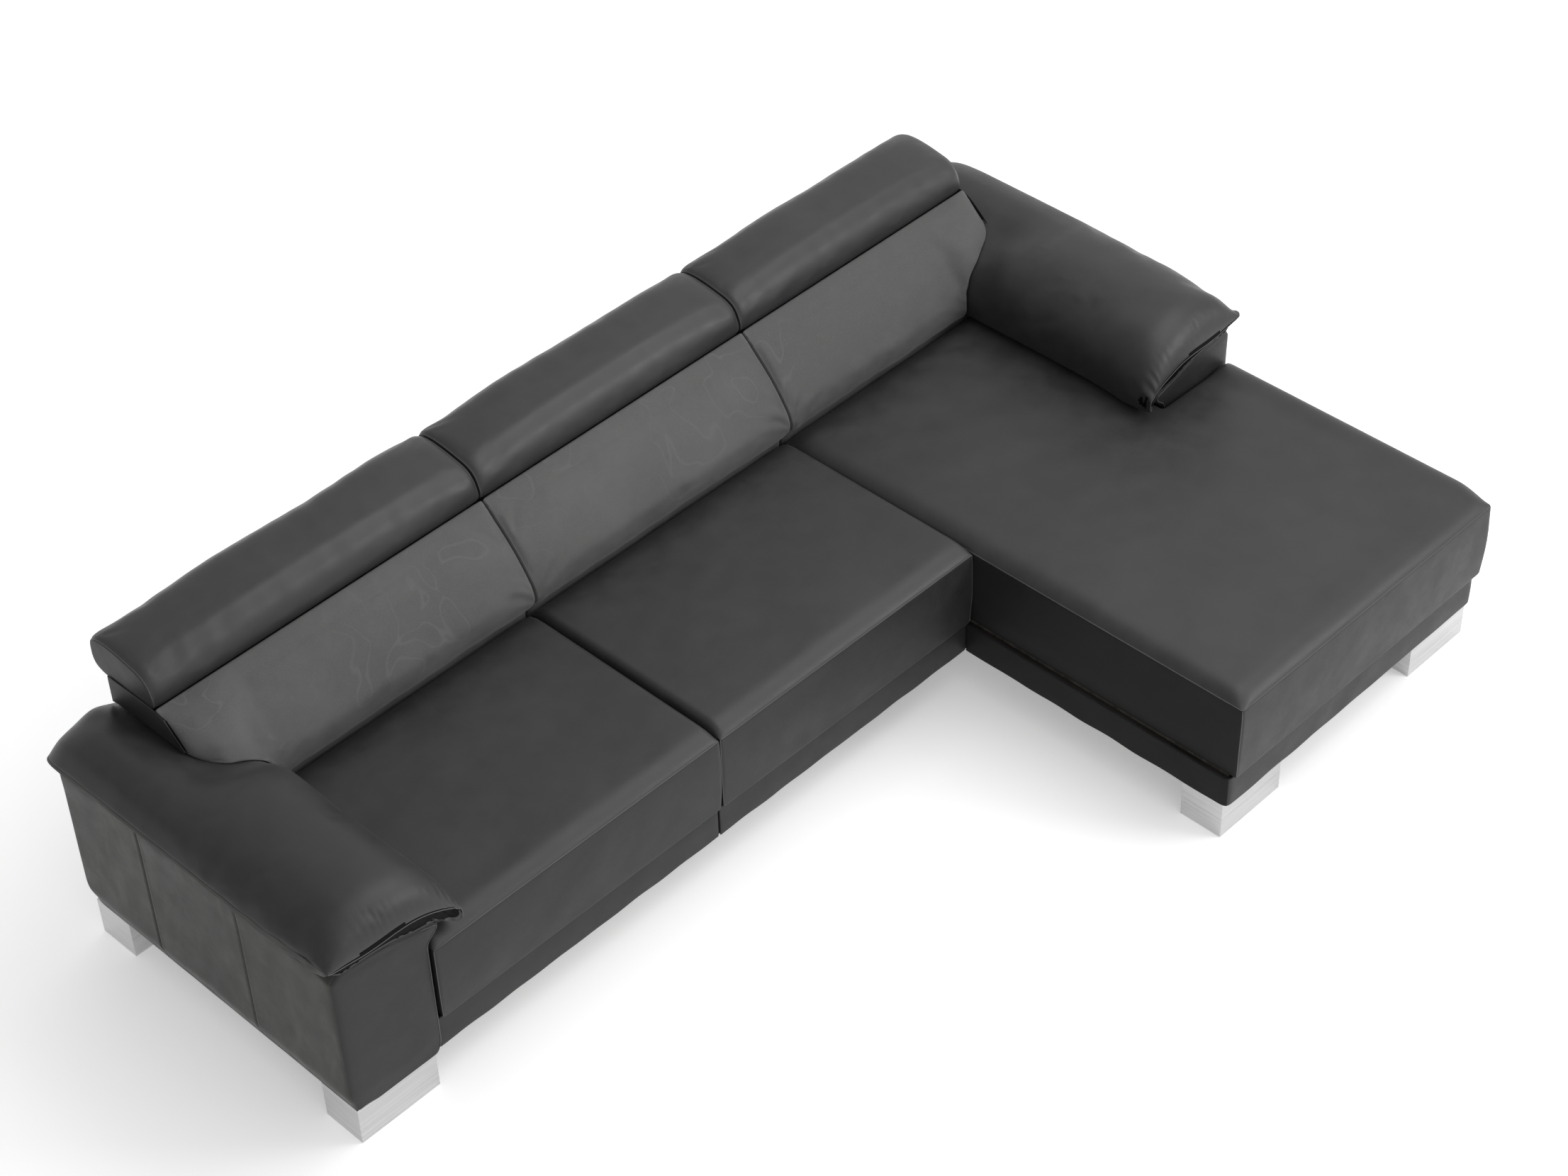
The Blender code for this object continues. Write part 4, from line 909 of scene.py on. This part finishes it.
def arm_pad(name, side, seed):
    """The pillow on the arm: rolled down to a seam at its front, with a strip below and gathers."""
    where = knots(np.concatenate([PAD_FULL, PAD_UNDER]), 0.0085)
    top_count = len(PAD_FULL) - 1
    index = np.where(where[0] < top_count, where[0] + where[1], -1)
    on_top = index >= 0
    share = np.clip(index / top_count, 0, 1)
    span = PAD_REAR - PAD_FRONT - PAD_AHEAD[-1] - PAD_BEHIND[-1]
    count = round(span / 0.018)
    inner = [PAD_AHEAD[-1] + span * i / count for i in range(1, count)]
    places = [PAD_FRONT + d for d in PAD_AHEAD + inner] + [PAD_REAR - d for d in reversed(PAD_BEHIND)]
    rings = []
    for y in places:
        d = y - PAD_FRONT
        opened = float(ease(d / 0.240))
        by_edge = ease((0.10 - PAD_END[:, 0]) / 0.09)
        top = PAD_END + (PAD_FULL - PAD_END) * stacked(opened, quarter(d / (0.092 - 0.020 * by_edge)))
        top[:, 0] -= PAD_RIM[side] * ease((0.02 - top[:, 0]) / 0.04)
        if side < 0:
            top[1:4] += tenths((90, -110), (70, -120), (30, -40)) * opened
        else:
            top += tenths((-30, 60)) * (ease((top[:, 0] - 0.24) / 0.06) * hump(d / 0.09))[:, None]
        rounded = 1 - float(quarter((PAD_REAR - y) / 0.060))
        slump = 0.30 * rounded + 0.26 * float(ease((y - 0.735) / 0.118)) * ease((0.135 - top[:, 0]) / 0.10)
        slump = slump * (1 if side < 0 else 0.3)
        top[:, 1] -= slump * np.maximum(0, top[:, 1] - Z_ARM) + pressed(top[:, 0], top[:, 1], y, side)
        under = STRIP_UNDER + (PAD_UNDER - STRIP_UNDER) * float(ease((d - 0.012) / 0.030))
        outline = np.concatenate([top, under])
        outline[:, 0] += 0.026 * rounded * ease((0.10 - outline[:, 0]) / 0.10)
        loop = through(outline, where)
        u = loop[:, 0]
        soft = folds(stacked(y, u), (0.0015, (0.42, 0.30), seed), (0.0003, (0.11, 0.14), seed + 3))
        soft = soft * ease(d / 0.05) * ease((PAD_REAR - y) / 0.06) * (1 - 0.8 * ease((y - 0.36) / 0.08))
        soft = soft * ease(share / 0.1) * ease((1 - share) / 0.1)
        # gathers across the front seam, strongest at the tip by the seat
        tip = 0.12 + 0.88 * ease((share - 0.50) / 0.3)
        gather = np.cos(2 * math.pi * u / 0.0165 + 0.9 * np.sin(u * 73 + seed) + seed)
        gathers = 0.0032 * gather * tip * hump((d - 0.010) / 0.046) * ease((d + 0.006) / 0.010)
        ripple = hump(share / 0.14) * 0.0024 * waves(np.array([[y]]), (0.12,), seed + 8) * ease(d / 0.03)
        ripple = ripple * (0.2 + 0.8 * ease((0.32 - y) / 0.25))
        loop = loop - inwards(loop) * np.where(on_top, soft + gathers + ripple - 0.001, 0)[:, None]
        # the strip below the front seam runs back to the arm
        back = np.where(on_top, 0, 0.0165 * float(hump(d / 0.045)))
        rings.append(stacked(side * (X_OUTER - loop[:, 0]), y + back, loop[:, 1]))

    def cap(ring, end):
        loops = []
        bulges = (0.0008, 0.002, 0.003) if end else (0.0020, 0.0050, 0.0056)
        for share, bulge in zip((0.93, 0.6, 0.25), bulges):
            loop = narrowed(ring, share)
            loop[:, 1] += bulge
            if end == 0:
                crease = np.cos(2 * math.pi * loop[:, 0] / 0.018 + 1.6 * np.sin(loop[:, 0] * 50 + seed))
                inner_half = 0.25 + 0.75 * ease((X_OUTER - 0.16 - np.abs(loop[:, 0])) / 0.10)
                loop[:, 1] -= 0.0034 * crease * inner_half * (1 - share)
            loops.append(loop)
        return loops

    rings, first = capped(rings, cap)
    last, total = len(rings) - first - 1, rings.shape[1]
    r = np.arange(len(places))
    free = ease(r / 5) * ease(r[::-1] / 3) * (1 - ease((np.array(places) - 0.36) / 0.07))
    held = np.ones(rings.shape[:2])
    top_free = np.where(index > 0, ease(index / 1.2) * ease((top_count - index) / 1.6), 0)
    held[first:-first] -= np.outer(free, top_free)
    obj = tube(f"arm_{name}_pad_soft", rings, "arm_leather", replaces=[f"arm_{name}_pad"], fill=0.75)
    swell(obj, held, 0.005, 0.004)
    tops = np.nonzero(on_top)[0]
    return obj, first * total + tops, last * total + tops, np.arange(first, last + 1) * total + tops[0]


LIP_STEP, LIP_SIDES = 0.006, 12


def lip(name, line, side, seed):
    """A narrow flange of two leathers sewn together, rippling along this line."""
    line = resample(line, LIP_STEP)
    ahead = unit(np.gradient(line, axis=0))
    travelled = np.arange(len(line))[:, None] * LIP_STEP
    forward = ease((0.32 - line[:, 1]) / 0.30)
    tilt = 0.50 + (0.08 + 0.38 * forward) * waves(travelled, (0.11,), seed)
    width = 0.0033 + 0.0024 * forward + 0.0008 * waves(travelled, (0.15,), seed + 1)
    out = stacked(side * np.cos(tilt), 0.0, -np.sin(tilt))
    out = unit(out - ahead * np.sum(out * ahead, 1)[:, None])
    across = np.cross(ahead, out)
    rings = []
    for i in range(len(line)):
        reach = width[i] * (0.25 + 0.75 * float(quarter(min(i, len(line) - 1 - i) * LIP_STEP / 0.030)))
        ring = []
        for k in range(LIP_SIDES):
            angle = 2 * math.pi * k / LIP_SIDES
            c, s = math.cos(angle), math.sin(angle)
            wide, thick = 0.85 + math.copysign(abs(c) ** 0.5, c), 0.0012 * math.copysign(abs(s) ** 0.7, s)
            ring.append(line[i] + out[i] * reach * wide + across[i] * thick)
        rings.append(ring)
    # The lip takes the lighter edge leather: a painted highlight along its rim.
    finish_piece(tube(name, rings, "arm_leather"), "highlight_edge_leather")


ARM_FRONT = Y_ARM + 0.0035
ARM_NEAR = [0, 0.0015, 0.004, 0.007, 0.011, 0.016, 0.022, 0.030, 0.040]
ARM_SEAMS = (0.567, 0.237)
SEAM_STEPS = (-0.012, -0.007, -0.0035, -0.0015, 0, 0.0015, 0.0035, 0.007, 0.012)
STANDS = {-1: 0.012, 1: 0.016}  # how far the padding of the outer side stands out


def arm_body(name, side, seed):
    """The arm's body: a padded box whose outer side is three panels, seamed and puckered."""
    places = list(steps_between(ARM_FRONT, Y_ARM_REAR, ARM_NEAR, 0.014))
    for at in ARM_SEAMS:
        places = [y for y in places if abs(y - at) > 0.013] + [at + d for d in SEAM_STEPS]
    places = sorted(places)
    base = through(ARM, knots(ARM, 0.0095))
    inward = inwards(base)
    u, z = base.T
    outer, upper = ease((0.06 - u) / 0.03), ease((z - 0.47) / 0.04)
    radius = 0.014 * outer + (0.0055 + 0.013 * upper) * (1 - outer)
    flare = 0.008 * ease((u - 0.20) / 0.04) * ease((z - 0.430) / 0.04)
    padded = -STANDS[side] * ease((0.012 - u) / 0.010) * ease((z - 0.115) / 0.05) * ease((0.55 - z) / 0.025)
    filled = np.maximum(0, 0.2430 - u) * ease((u - 0.225) / 0.008) * ease((z - 0.11) / 0.03)
    u = u + padded + filled * ease((0.452 - z) / 0.010)
    base = stacked(u, z)
    side_face = ease((0.012 - u) / 0.010) * ease((z - 0.112) / 0.03) * ease((0.545 - z) / 0.04)
    rings = []
    for y in places:
        d = min(y - ARM_FRONT, Y_ARM_REAR - y)
        turned = stacked(y + 0.35 * z, z)
        puckers = folds(turned, (0.0013, (0.13, 0.45), seed, 6), (0.0004, (0.05, 0.25), seed + 2, 6))
        groove, pinch = 0.0, ease(d / 0.03)
        for at in ARM_SEAMS:
            away = abs(y - at)
            pinch = pinch * ease(away / 0.05)
            groove += 0.0030 * hump(away / 0.0045) - 0.0008 * hump((away - 0.008) / 0.007)
            groove += 0.0004 * hump(away / 0.035) * np.cos(2 * math.pi * z / 0.021 + at * 40)
        inset = radius * (1 - quarter(d / radius)) + side_face * (groove - puckers * pinch) + 0.0006
        loop = base + inward * inset[:, None]
        loop[:, 0] += flare * ease(1 - (y - ARM_FRONT) / 0.018)
        loop[:, 1] -= 0.0075 * upper * hump((y - ARM_FRONT) / 0.04)
        wavy = 0.0005 * waves(np.array([[y]]), (0.15,), seed + 6) - 0.0004
        loop[:, 1] = np.maximum(loop[:, 1] + np.where(z < 0.12, wavy, 0), Z_BASE)
        drawn = 0.015 * ease((0.185 - loop[:, 1]) / 0.075) * ease((y - 0.760) / 0.080)
        rings.append(stacked(side * (X_OUTER - loop[:, 0]), y - drawn, loop[:, 1]))

    def cap(ring, end):
        outward = 1 if end else -1
        soft = ease((ring[:, 2] - 0.105) / 0.06) * ease((0.545 - ring[:, 2]) / 0.05)
        loops = []
        for share, bulge in ((0.96, 0.0007), (0.80, 0.0022), (0.45, 0.0030)):
            loop = narrowed(ring, share)
            loop[:, 1] += outward * bulge * soft
            loops.append(loop)
        return loops

    rings, first = capped(rings, cap)
    column = ordered((u < 0.004) & (z > 0.112) & (z < 0.535), z)
    edge = ordered((u > 0.2) & (z > 0.114) & (z < 0.52), z)
    at_seams = [first + int(np.argmin([abs(y - at) for y in places])) for at in ARM_SEAMS]
    obj = tube(f"arm_{name}_body_soft", rings, "arm_leather", replaces=[f"arm_{name}_cover"], fill=0.6)
    return obj, [r * len(z) + column for r in at_seams], first * len(z) + edge


# Plinths and back covers: thin skins

SKIN, SKIN_HEM = 0.006, 0.0010


def plinth(name, line, seed):
    """A leather skin standing on a plan line. Its foot is rolled and slightly wavy."""
    low, high, half = Z_BASE, Z_PLINTH, SKIN / 2
    line = resample(np.array(line), 0.002)
    total = (len(line) - 1) * float(np.linalg.norm(line[1] - line[0]))
    travelled = steps_between(0, total, [0, 0.0006, 0.0020, 0.0045, 0.009], 0.012)
    along = np.linspace(0, total, len(line))
    dense = stacked(*(np.interp(travelled, along, column) for column in line.T))
    ahead = unit(stacked(*(np.interp(travelled, along, np.gradient(column)) for column in line.T)))
    out = stacked(ahead[:, 1], -ahead[:, 0])
    upright = low + half + (high - low - SKIN) * np.linspace(0, 1, 12)
    turn = half * np.exp(1j * np.radians([30, 60, 90, 120, 150]))
    profile = np.concatenate([
        stacked(half, upright), stacked(turn.real, high - half + turn.imag),
        stacked(-half, upright[::-1]), stacked(-turn.real, low + half - turn.imag),
    ])
    rings = []
    for at, point, normal in zip(travelled, dense, out):
        end = min(at, total - at)
        p = profile.copy()
        share = (high - p[:, 1]) / (high - low)
        p[:, 1] += ease((share - 0.7) / 0.3) * SKIN_HEM * (waves(np.array([[at]]), (0.19,), seed) + 1)
        belly = 0.0010 * np.sin(np.pi * np.clip(share, 0, 1)) * ease(end / 0.02)
        bow = 0.0005 * waves(stacked(at, p[:, 1]), (0.14, 0.2), seed + 3)
        p[:, 0] += np.where(p[:, 0] > 0, belly + bow * np.sin(np.pi * share) - 0.0006, 0)
        p[:, 0] *= 0.4 + 0.6 * float(quarter(end / 0.004))
        rings.append(np.column_stack([point + normal * p[:, :1], p[:, 1]]))
    obj = tube(f"plinth_{name}_skin", rings, "plinth_leather", replaces=[f"plinth_{name}_cover"])
    finish_piece(obj, "plinth_leather")
    return obj


COVER_NEAR = [0, 0.002, 0.005, 0.010, 0.018, 0.03]
COVER_TURN, COVER_DEPTH = 0.8055, 0.0075


def back_cover(name, x0, x1, ears, seed):
    """The leather over the back: a wide panel with a turned-over top and a seamed hem."""
    low, high, rear = Z_BASE + 0.0008, Z_COVER - 0.0005, Y_REAR - 0.0005
    under = high - COVER_DEPTH
    heights = np.linspace(low + 0.004, high - 0.012, 40)
    bend = np.linspace(0.2, math.pi / 2, 6)
    loop = np.concatenate([
        stacked(rear, heights),
        stacked(rear - 0.010 * (1 - np.cos(bend)), high - 0.010 + 0.010 * np.sin(bend)),
        [(Y_REAR - 0.0175, high), (COVER_TURN + 0.002, high), (COVER_TURN, high - COVER_DEPTH / 2),
         (COVER_TURN + 0.002, under), (Y_REAR - 0.015, under)],
        stacked(Y_REAR - COVER_DEPTH, heights[::-1]), [(Y_REAR - COVER_DEPTH / 2, low)],
    ])
    y, z = loop.T
    outside = (y > Y_REAR - 0.002) & (z < high - 0.012)
    rings = []
    for x, d, _ in sections(*ends_at(x0, x1, ears, z, y, CLEAR), COVER_NEAR, COVER_NEAR, 0.02):
        panel = folds(stacked(x, z), (0.0022, (0.35, 0.40), seed), (0.0008, (0.10, 0.16), seed + 2))
        panel = panel * ease(d / 0.05) * ease((z - low) / 0.05) * ease((high - z) / 0.06)
        inset = 0.0022 + panel * 0.8 + 0.004 * (1 - quarter(d / 0.008))
        rings.append(stacked(x, y - np.where(outside, inset, 0), z))
    name = f"back_{name}_cover"
    finish_piece(tube(f"{name}_soft", rings, "back_leather", replaces=[name]), "arm_leather")


def cheek(name, side):
    """The flat side panel sewn to the end of the back, down to the pad it presses."""
    y = steps_between(0.5820, Y_REAR - 0.002, [0, 0.002, 0.005, 0.010], 0.011)
    top = between(y, CHEEK_TOP) - 0.0016 + 0.0056 * ease((y - 0.652) / 0.03)
    bottom = 0.6525 - pressed(EAR_END, 0.6525, y, side)
    bottom -= 0.30 * (1 - quarter((PAD_REAR - y) / 0.060)) * (bottom - Z_ARM) - 0.0022
    ring = np.concatenate([stacked(y, top), stacked(y, np.minimum(bottom, top - 0.003))[::-1]])
    inward = inwards(ring)
    rings = [
        stacked(side * x, *(ring + inward * inset).T)
        for x, inset in ((1.2904, 0.0008), (1.2908, 0), (1.2917, 0), (1.2924, 0.0008), (1.2927, 0.0022))
    ]
    # The cheek takes the darker front copy: painted shade under the headrest.
    finish_piece(tube(f"back_{name}_cheek", rings, "back_leather"), "shaded_front_leather")


# Build

BACKS = (
    ("left", X_SEAT, X_MIDDLE - HALF_JOINT, (True, False)),
    ("middle", X_MIDDLE + HALF_JOINT, X_CHAISE - HALF_JOINT, (False, False)),
    ("chaise", X_CHAISE + HALF_JOINT, X_ARM, (False, True)),
)
SIDES = (("left", -1), ("right", 1))

cushions = [
    seat_cushion("left", X_SEAT + CLEAR, X_MIDDLE - CLEAR, Y_SEAT - 0.017, 11),
    seat_cushion("middle", X_MIDDLE + CLEAR, X_CHAISE - CLEAR, Y_SEAT - 0.017, 12),
    seat_cushion("chaise", X_CHAISE + CLEAR, X_OUTER - 0.0005, Y_CHAISE - 0.017, 13, (True, True),
                 (X_OUTER - 0.2505, Y_ARM + 0.0002)),
]
backs = [back_cushion(*back, 21 + i) for i, back in enumerate(BACKS)]
rests = [
    headrest("left", -1.2892, -0.3578, 31),
    headrest("middle", -0.3532, 0.4872, 32),
    headrest("chaise", 0.4918, 1.2892, 33),
]
pads = [arm_pad(name, side, 41 + i) for i, (name, side) in enumerate(SIDES)]
bodies = [arm_body(name, side, 51 + i) for i, (name, side) in enumerate(SIDES)]
run_swelling()

for obj, rows in cushions:
    points = finish_piece(obj, "seat_leather", 1, rows)
    # The boxing's front faces take the darker front copy and its left faces the darker side copy: painted
    # shade.
    dress(obj, "shaded_front_leather", lambda centre, normal: centre.z < Z_SEAM - 0.001 and normal.y < -0.6)
    dress(obj, "shaded_side_leather", lambda centre, normal: centre.z < Z_SEAM - 0.001 and normal.x < -0.6)
    sweep(obj.name.replace("_cushion_soft", "_piping"), [points[row] for row in rows], "seat_leather")
for obj, rows in backs:
    points = finish_piece(obj, "back_leather", 1, rows)
    sweep(obj.name.replace("_cushion_soft", "_welts"), [points[row] for row in rows], "back_leather")
    # The ends of the backs by the arm pads take the darker side copy: painted shade.
    dress(obj, "shaded_side_leather", lambda centre, normal: abs(centre.x) > 1.285 and abs(normal.x) > 0.75)
for obj, rows, hinges in rests:
    pockets(obj, hinges)
    points = finish_piece(obj, "rest_leather", 1, rows)
    body = obj.name.replace("_soft", "")
    ends = sorted(points[row][:, 0].mean() for row in rows)
    # The end panels take the darker front copy: painted shade.
    dress(obj, "shaded_front_leather", lambda centre, normal: not ends[0] < centre.x < ends[-1])
    sweep(f"{body}_welts", [points[row[:-1]] for row in rows], "seat_leather", body=body, closed=True)
for (obj, front_row, rear_row, edge_row), (name, side) in zip(pads, SIDES):
    points = finish_piece(obj, "arm_leather", 1, [front_row, edge_row])
    # The strip under the pad's front seam takes a near-black copy: painted shadow under the overhang.
    dress(obj, "painted_shadow_leather", lambda centre, normal: centre.y < Y_ARM + 0.02 and centre.z > Z_SEAM + 0.060
          and normal.y < -0.1 and normal.z < 0.12)
    sweep(f"arm_{name}_pad_piping", [points[front_row], points[rear_row]], "arm_leather", 0.0011)
    lip(f"arm_{name}_pad_lip", points[edge_row], side, 44 + side)
for (obj, rows, edge), (name, side) in zip(bodies, SIDES):
    points = finish_piece(obj, "panel_leather", 1, rows)
    dress(obj, "arm_leather", lambda centre, normal: abs(centre.x) < X_OUTER - 0.03)
    # The front and rear faces take the darker front copy: painted shade.
    dress(obj, "shaded_front_leather", lambda centre, normal: abs(normal.y) > 0.6)
    lines = [points[row] + (side * 0.0018, -0.0036, 0) for row in rows]
    stitches(f"arm_{name}_stitches", lines, "arm_leather")
    # The front piping, in the lighter edge leather, is a painted highlight along the rolled inner edge.
    sweep(f"arm_{name}_front_piping", [points[edge] - (0, 0.0003, 0)], "arm_leather", 0.0011)

half, y = SKIN / 2, Y_SEAT + SKIN / 2
plinth("left", [(X_SEAT - 0.003, y), (X_SEAT + 0.842, y)], 61)
plinth("middle", [(X_MIDDLE + 0.003, y), (X_MIDDLE + 0.842, y)], 61)
turn = np.linspace(0, math.pi / 2, 7)
near, far = 0.008 * (1 - np.cos(turn)), 0.008 * (1 - np.sin(turn))
chaise = plinth("chaise", [
    (X_CHAISE - half, Y_SEAT - 0.001),
    *zip(X_CHAISE - half + near, Y_CHAISE + half + far),
    *zip(X_OUTER - half - far, Y_CHAISE + half + near),
    (X_OUTER - half, Y_ARM - 0.001),
], 64)
# The plinth's left side takes the darker side copy: painted shade.
dress(chaise, "shaded_side_leather", lambda centre, normal: normal.x < -0.6)

for i, back in enumerate(BACKS):
    back_cover(*back, 71 + i)
cheek("left", -1)
cheek("chaise", 1)


# Floor, light and camera

def linked(name, data):
    obj = bpy.data.objects.new(name, data)
    bpy.context.scene.collection.objects.link(obj)
    return obj


def floor(size=60.0):
    mesh = bpy.data.meshes.new("floor")
    corners = [(-size, -size, 0), (size, -size, 0), (size, size, 0), (-size, size, 0)]
    mesh.from_pydata(corners, [], [(0, 1, 2, 3)])
    material = bpy.data.materials.new("floor")
    Graph(material).shader({
        "Base Color": (0.96, 0.96, 0.96, 1),
        "Emission Color": (1, 1, 1, 1),
        "Emission Strength": 0.30,
        "Roughness": 0.9,
        "Specular IOR Level": 0.1,
    })
    mesh.materials.append(material)
    linked("floor", mesh)


def studio():
    """A surrounding light that is stronger from the right and from the front."""
    world = bpy.data.worlds.new("studio")
    g = Graph(world)
    towards = g.node("SeparateXYZ", {"Vector": g.node("TexCoord").outputs["Generated"]})
    beside = g.maths("MULTIPLY", g.maths("ADD", towards.outputs["X"], 1.0), 0.30)
    ahead = g.maths("MULTIPLY", g.maths("SUBTRACT", 1.0, towards.outputs["Y"]), 0.24)
    strength = g.maths("ADD", g.maths("ADD", beside, ahead), 0.19)
    g.fill(g.tree.nodes["Background"], {"Color": (1, 1, 1, 1), "Strength": strength})
    bpy.context.scene.world = world


def area_light(name, place, target, size, power):
    data = bpy.data.lights.new(name, "AREA")
    data.shape = "RECTANGLE"
    data.size, data.size_y = size
    data.energy = power
    obj = linked(name, data)
    obj.location = place
    obj.rotation_euler = (Vector(target) - Vector(place)).to_track_quat("-Z", "Y").to_euler()


def camera():
    azimuth, elevation, tilt = (math.radians(a) for a in (44.68, 41.60, -2.12))
    right = Vector((math.cos(azimuth), -math.sin(azimuth), 0))
    level = Vector((math.sin(azimuth), math.cos(azimuth), 0)) * math.cos(elevation)
    forward = level - Vector((0, 0, math.sin(elevation)))
    up = right.cross(forward)
    across = math.cos(tilt) * right + math.sin(tilt) * up
    upward = -math.sin(tilt) * right + math.cos(tilt) * up
    data = bpy.data.cameras.new("camera")
    data.lens = 74.607
    data.sensor_width = 36
    data.sensor_fit = "HORIZONTAL"
    data.clip_end = 200
    obj = linked("camera", data)
    turned = Matrix((across, upward, -forward)).transposed().to_4x4()
    obj.matrix_world = Matrix.Translation((-3.8655, -3.848, 5.434)) @ turned
    bpy.context.scene.camera = obj


floor()
studio()
area_light("overhead", (1.8, -0.6, 4.3), (0.2, -0.2, 0), (3.4, 2.8), 55)
area_light("key", (2.8, -3.6, 2.9), (0, 0, 0.4), (1.8, 1.3), 58)
camera()
bpy.context.scene.view_settings.view_transform = "Standard"
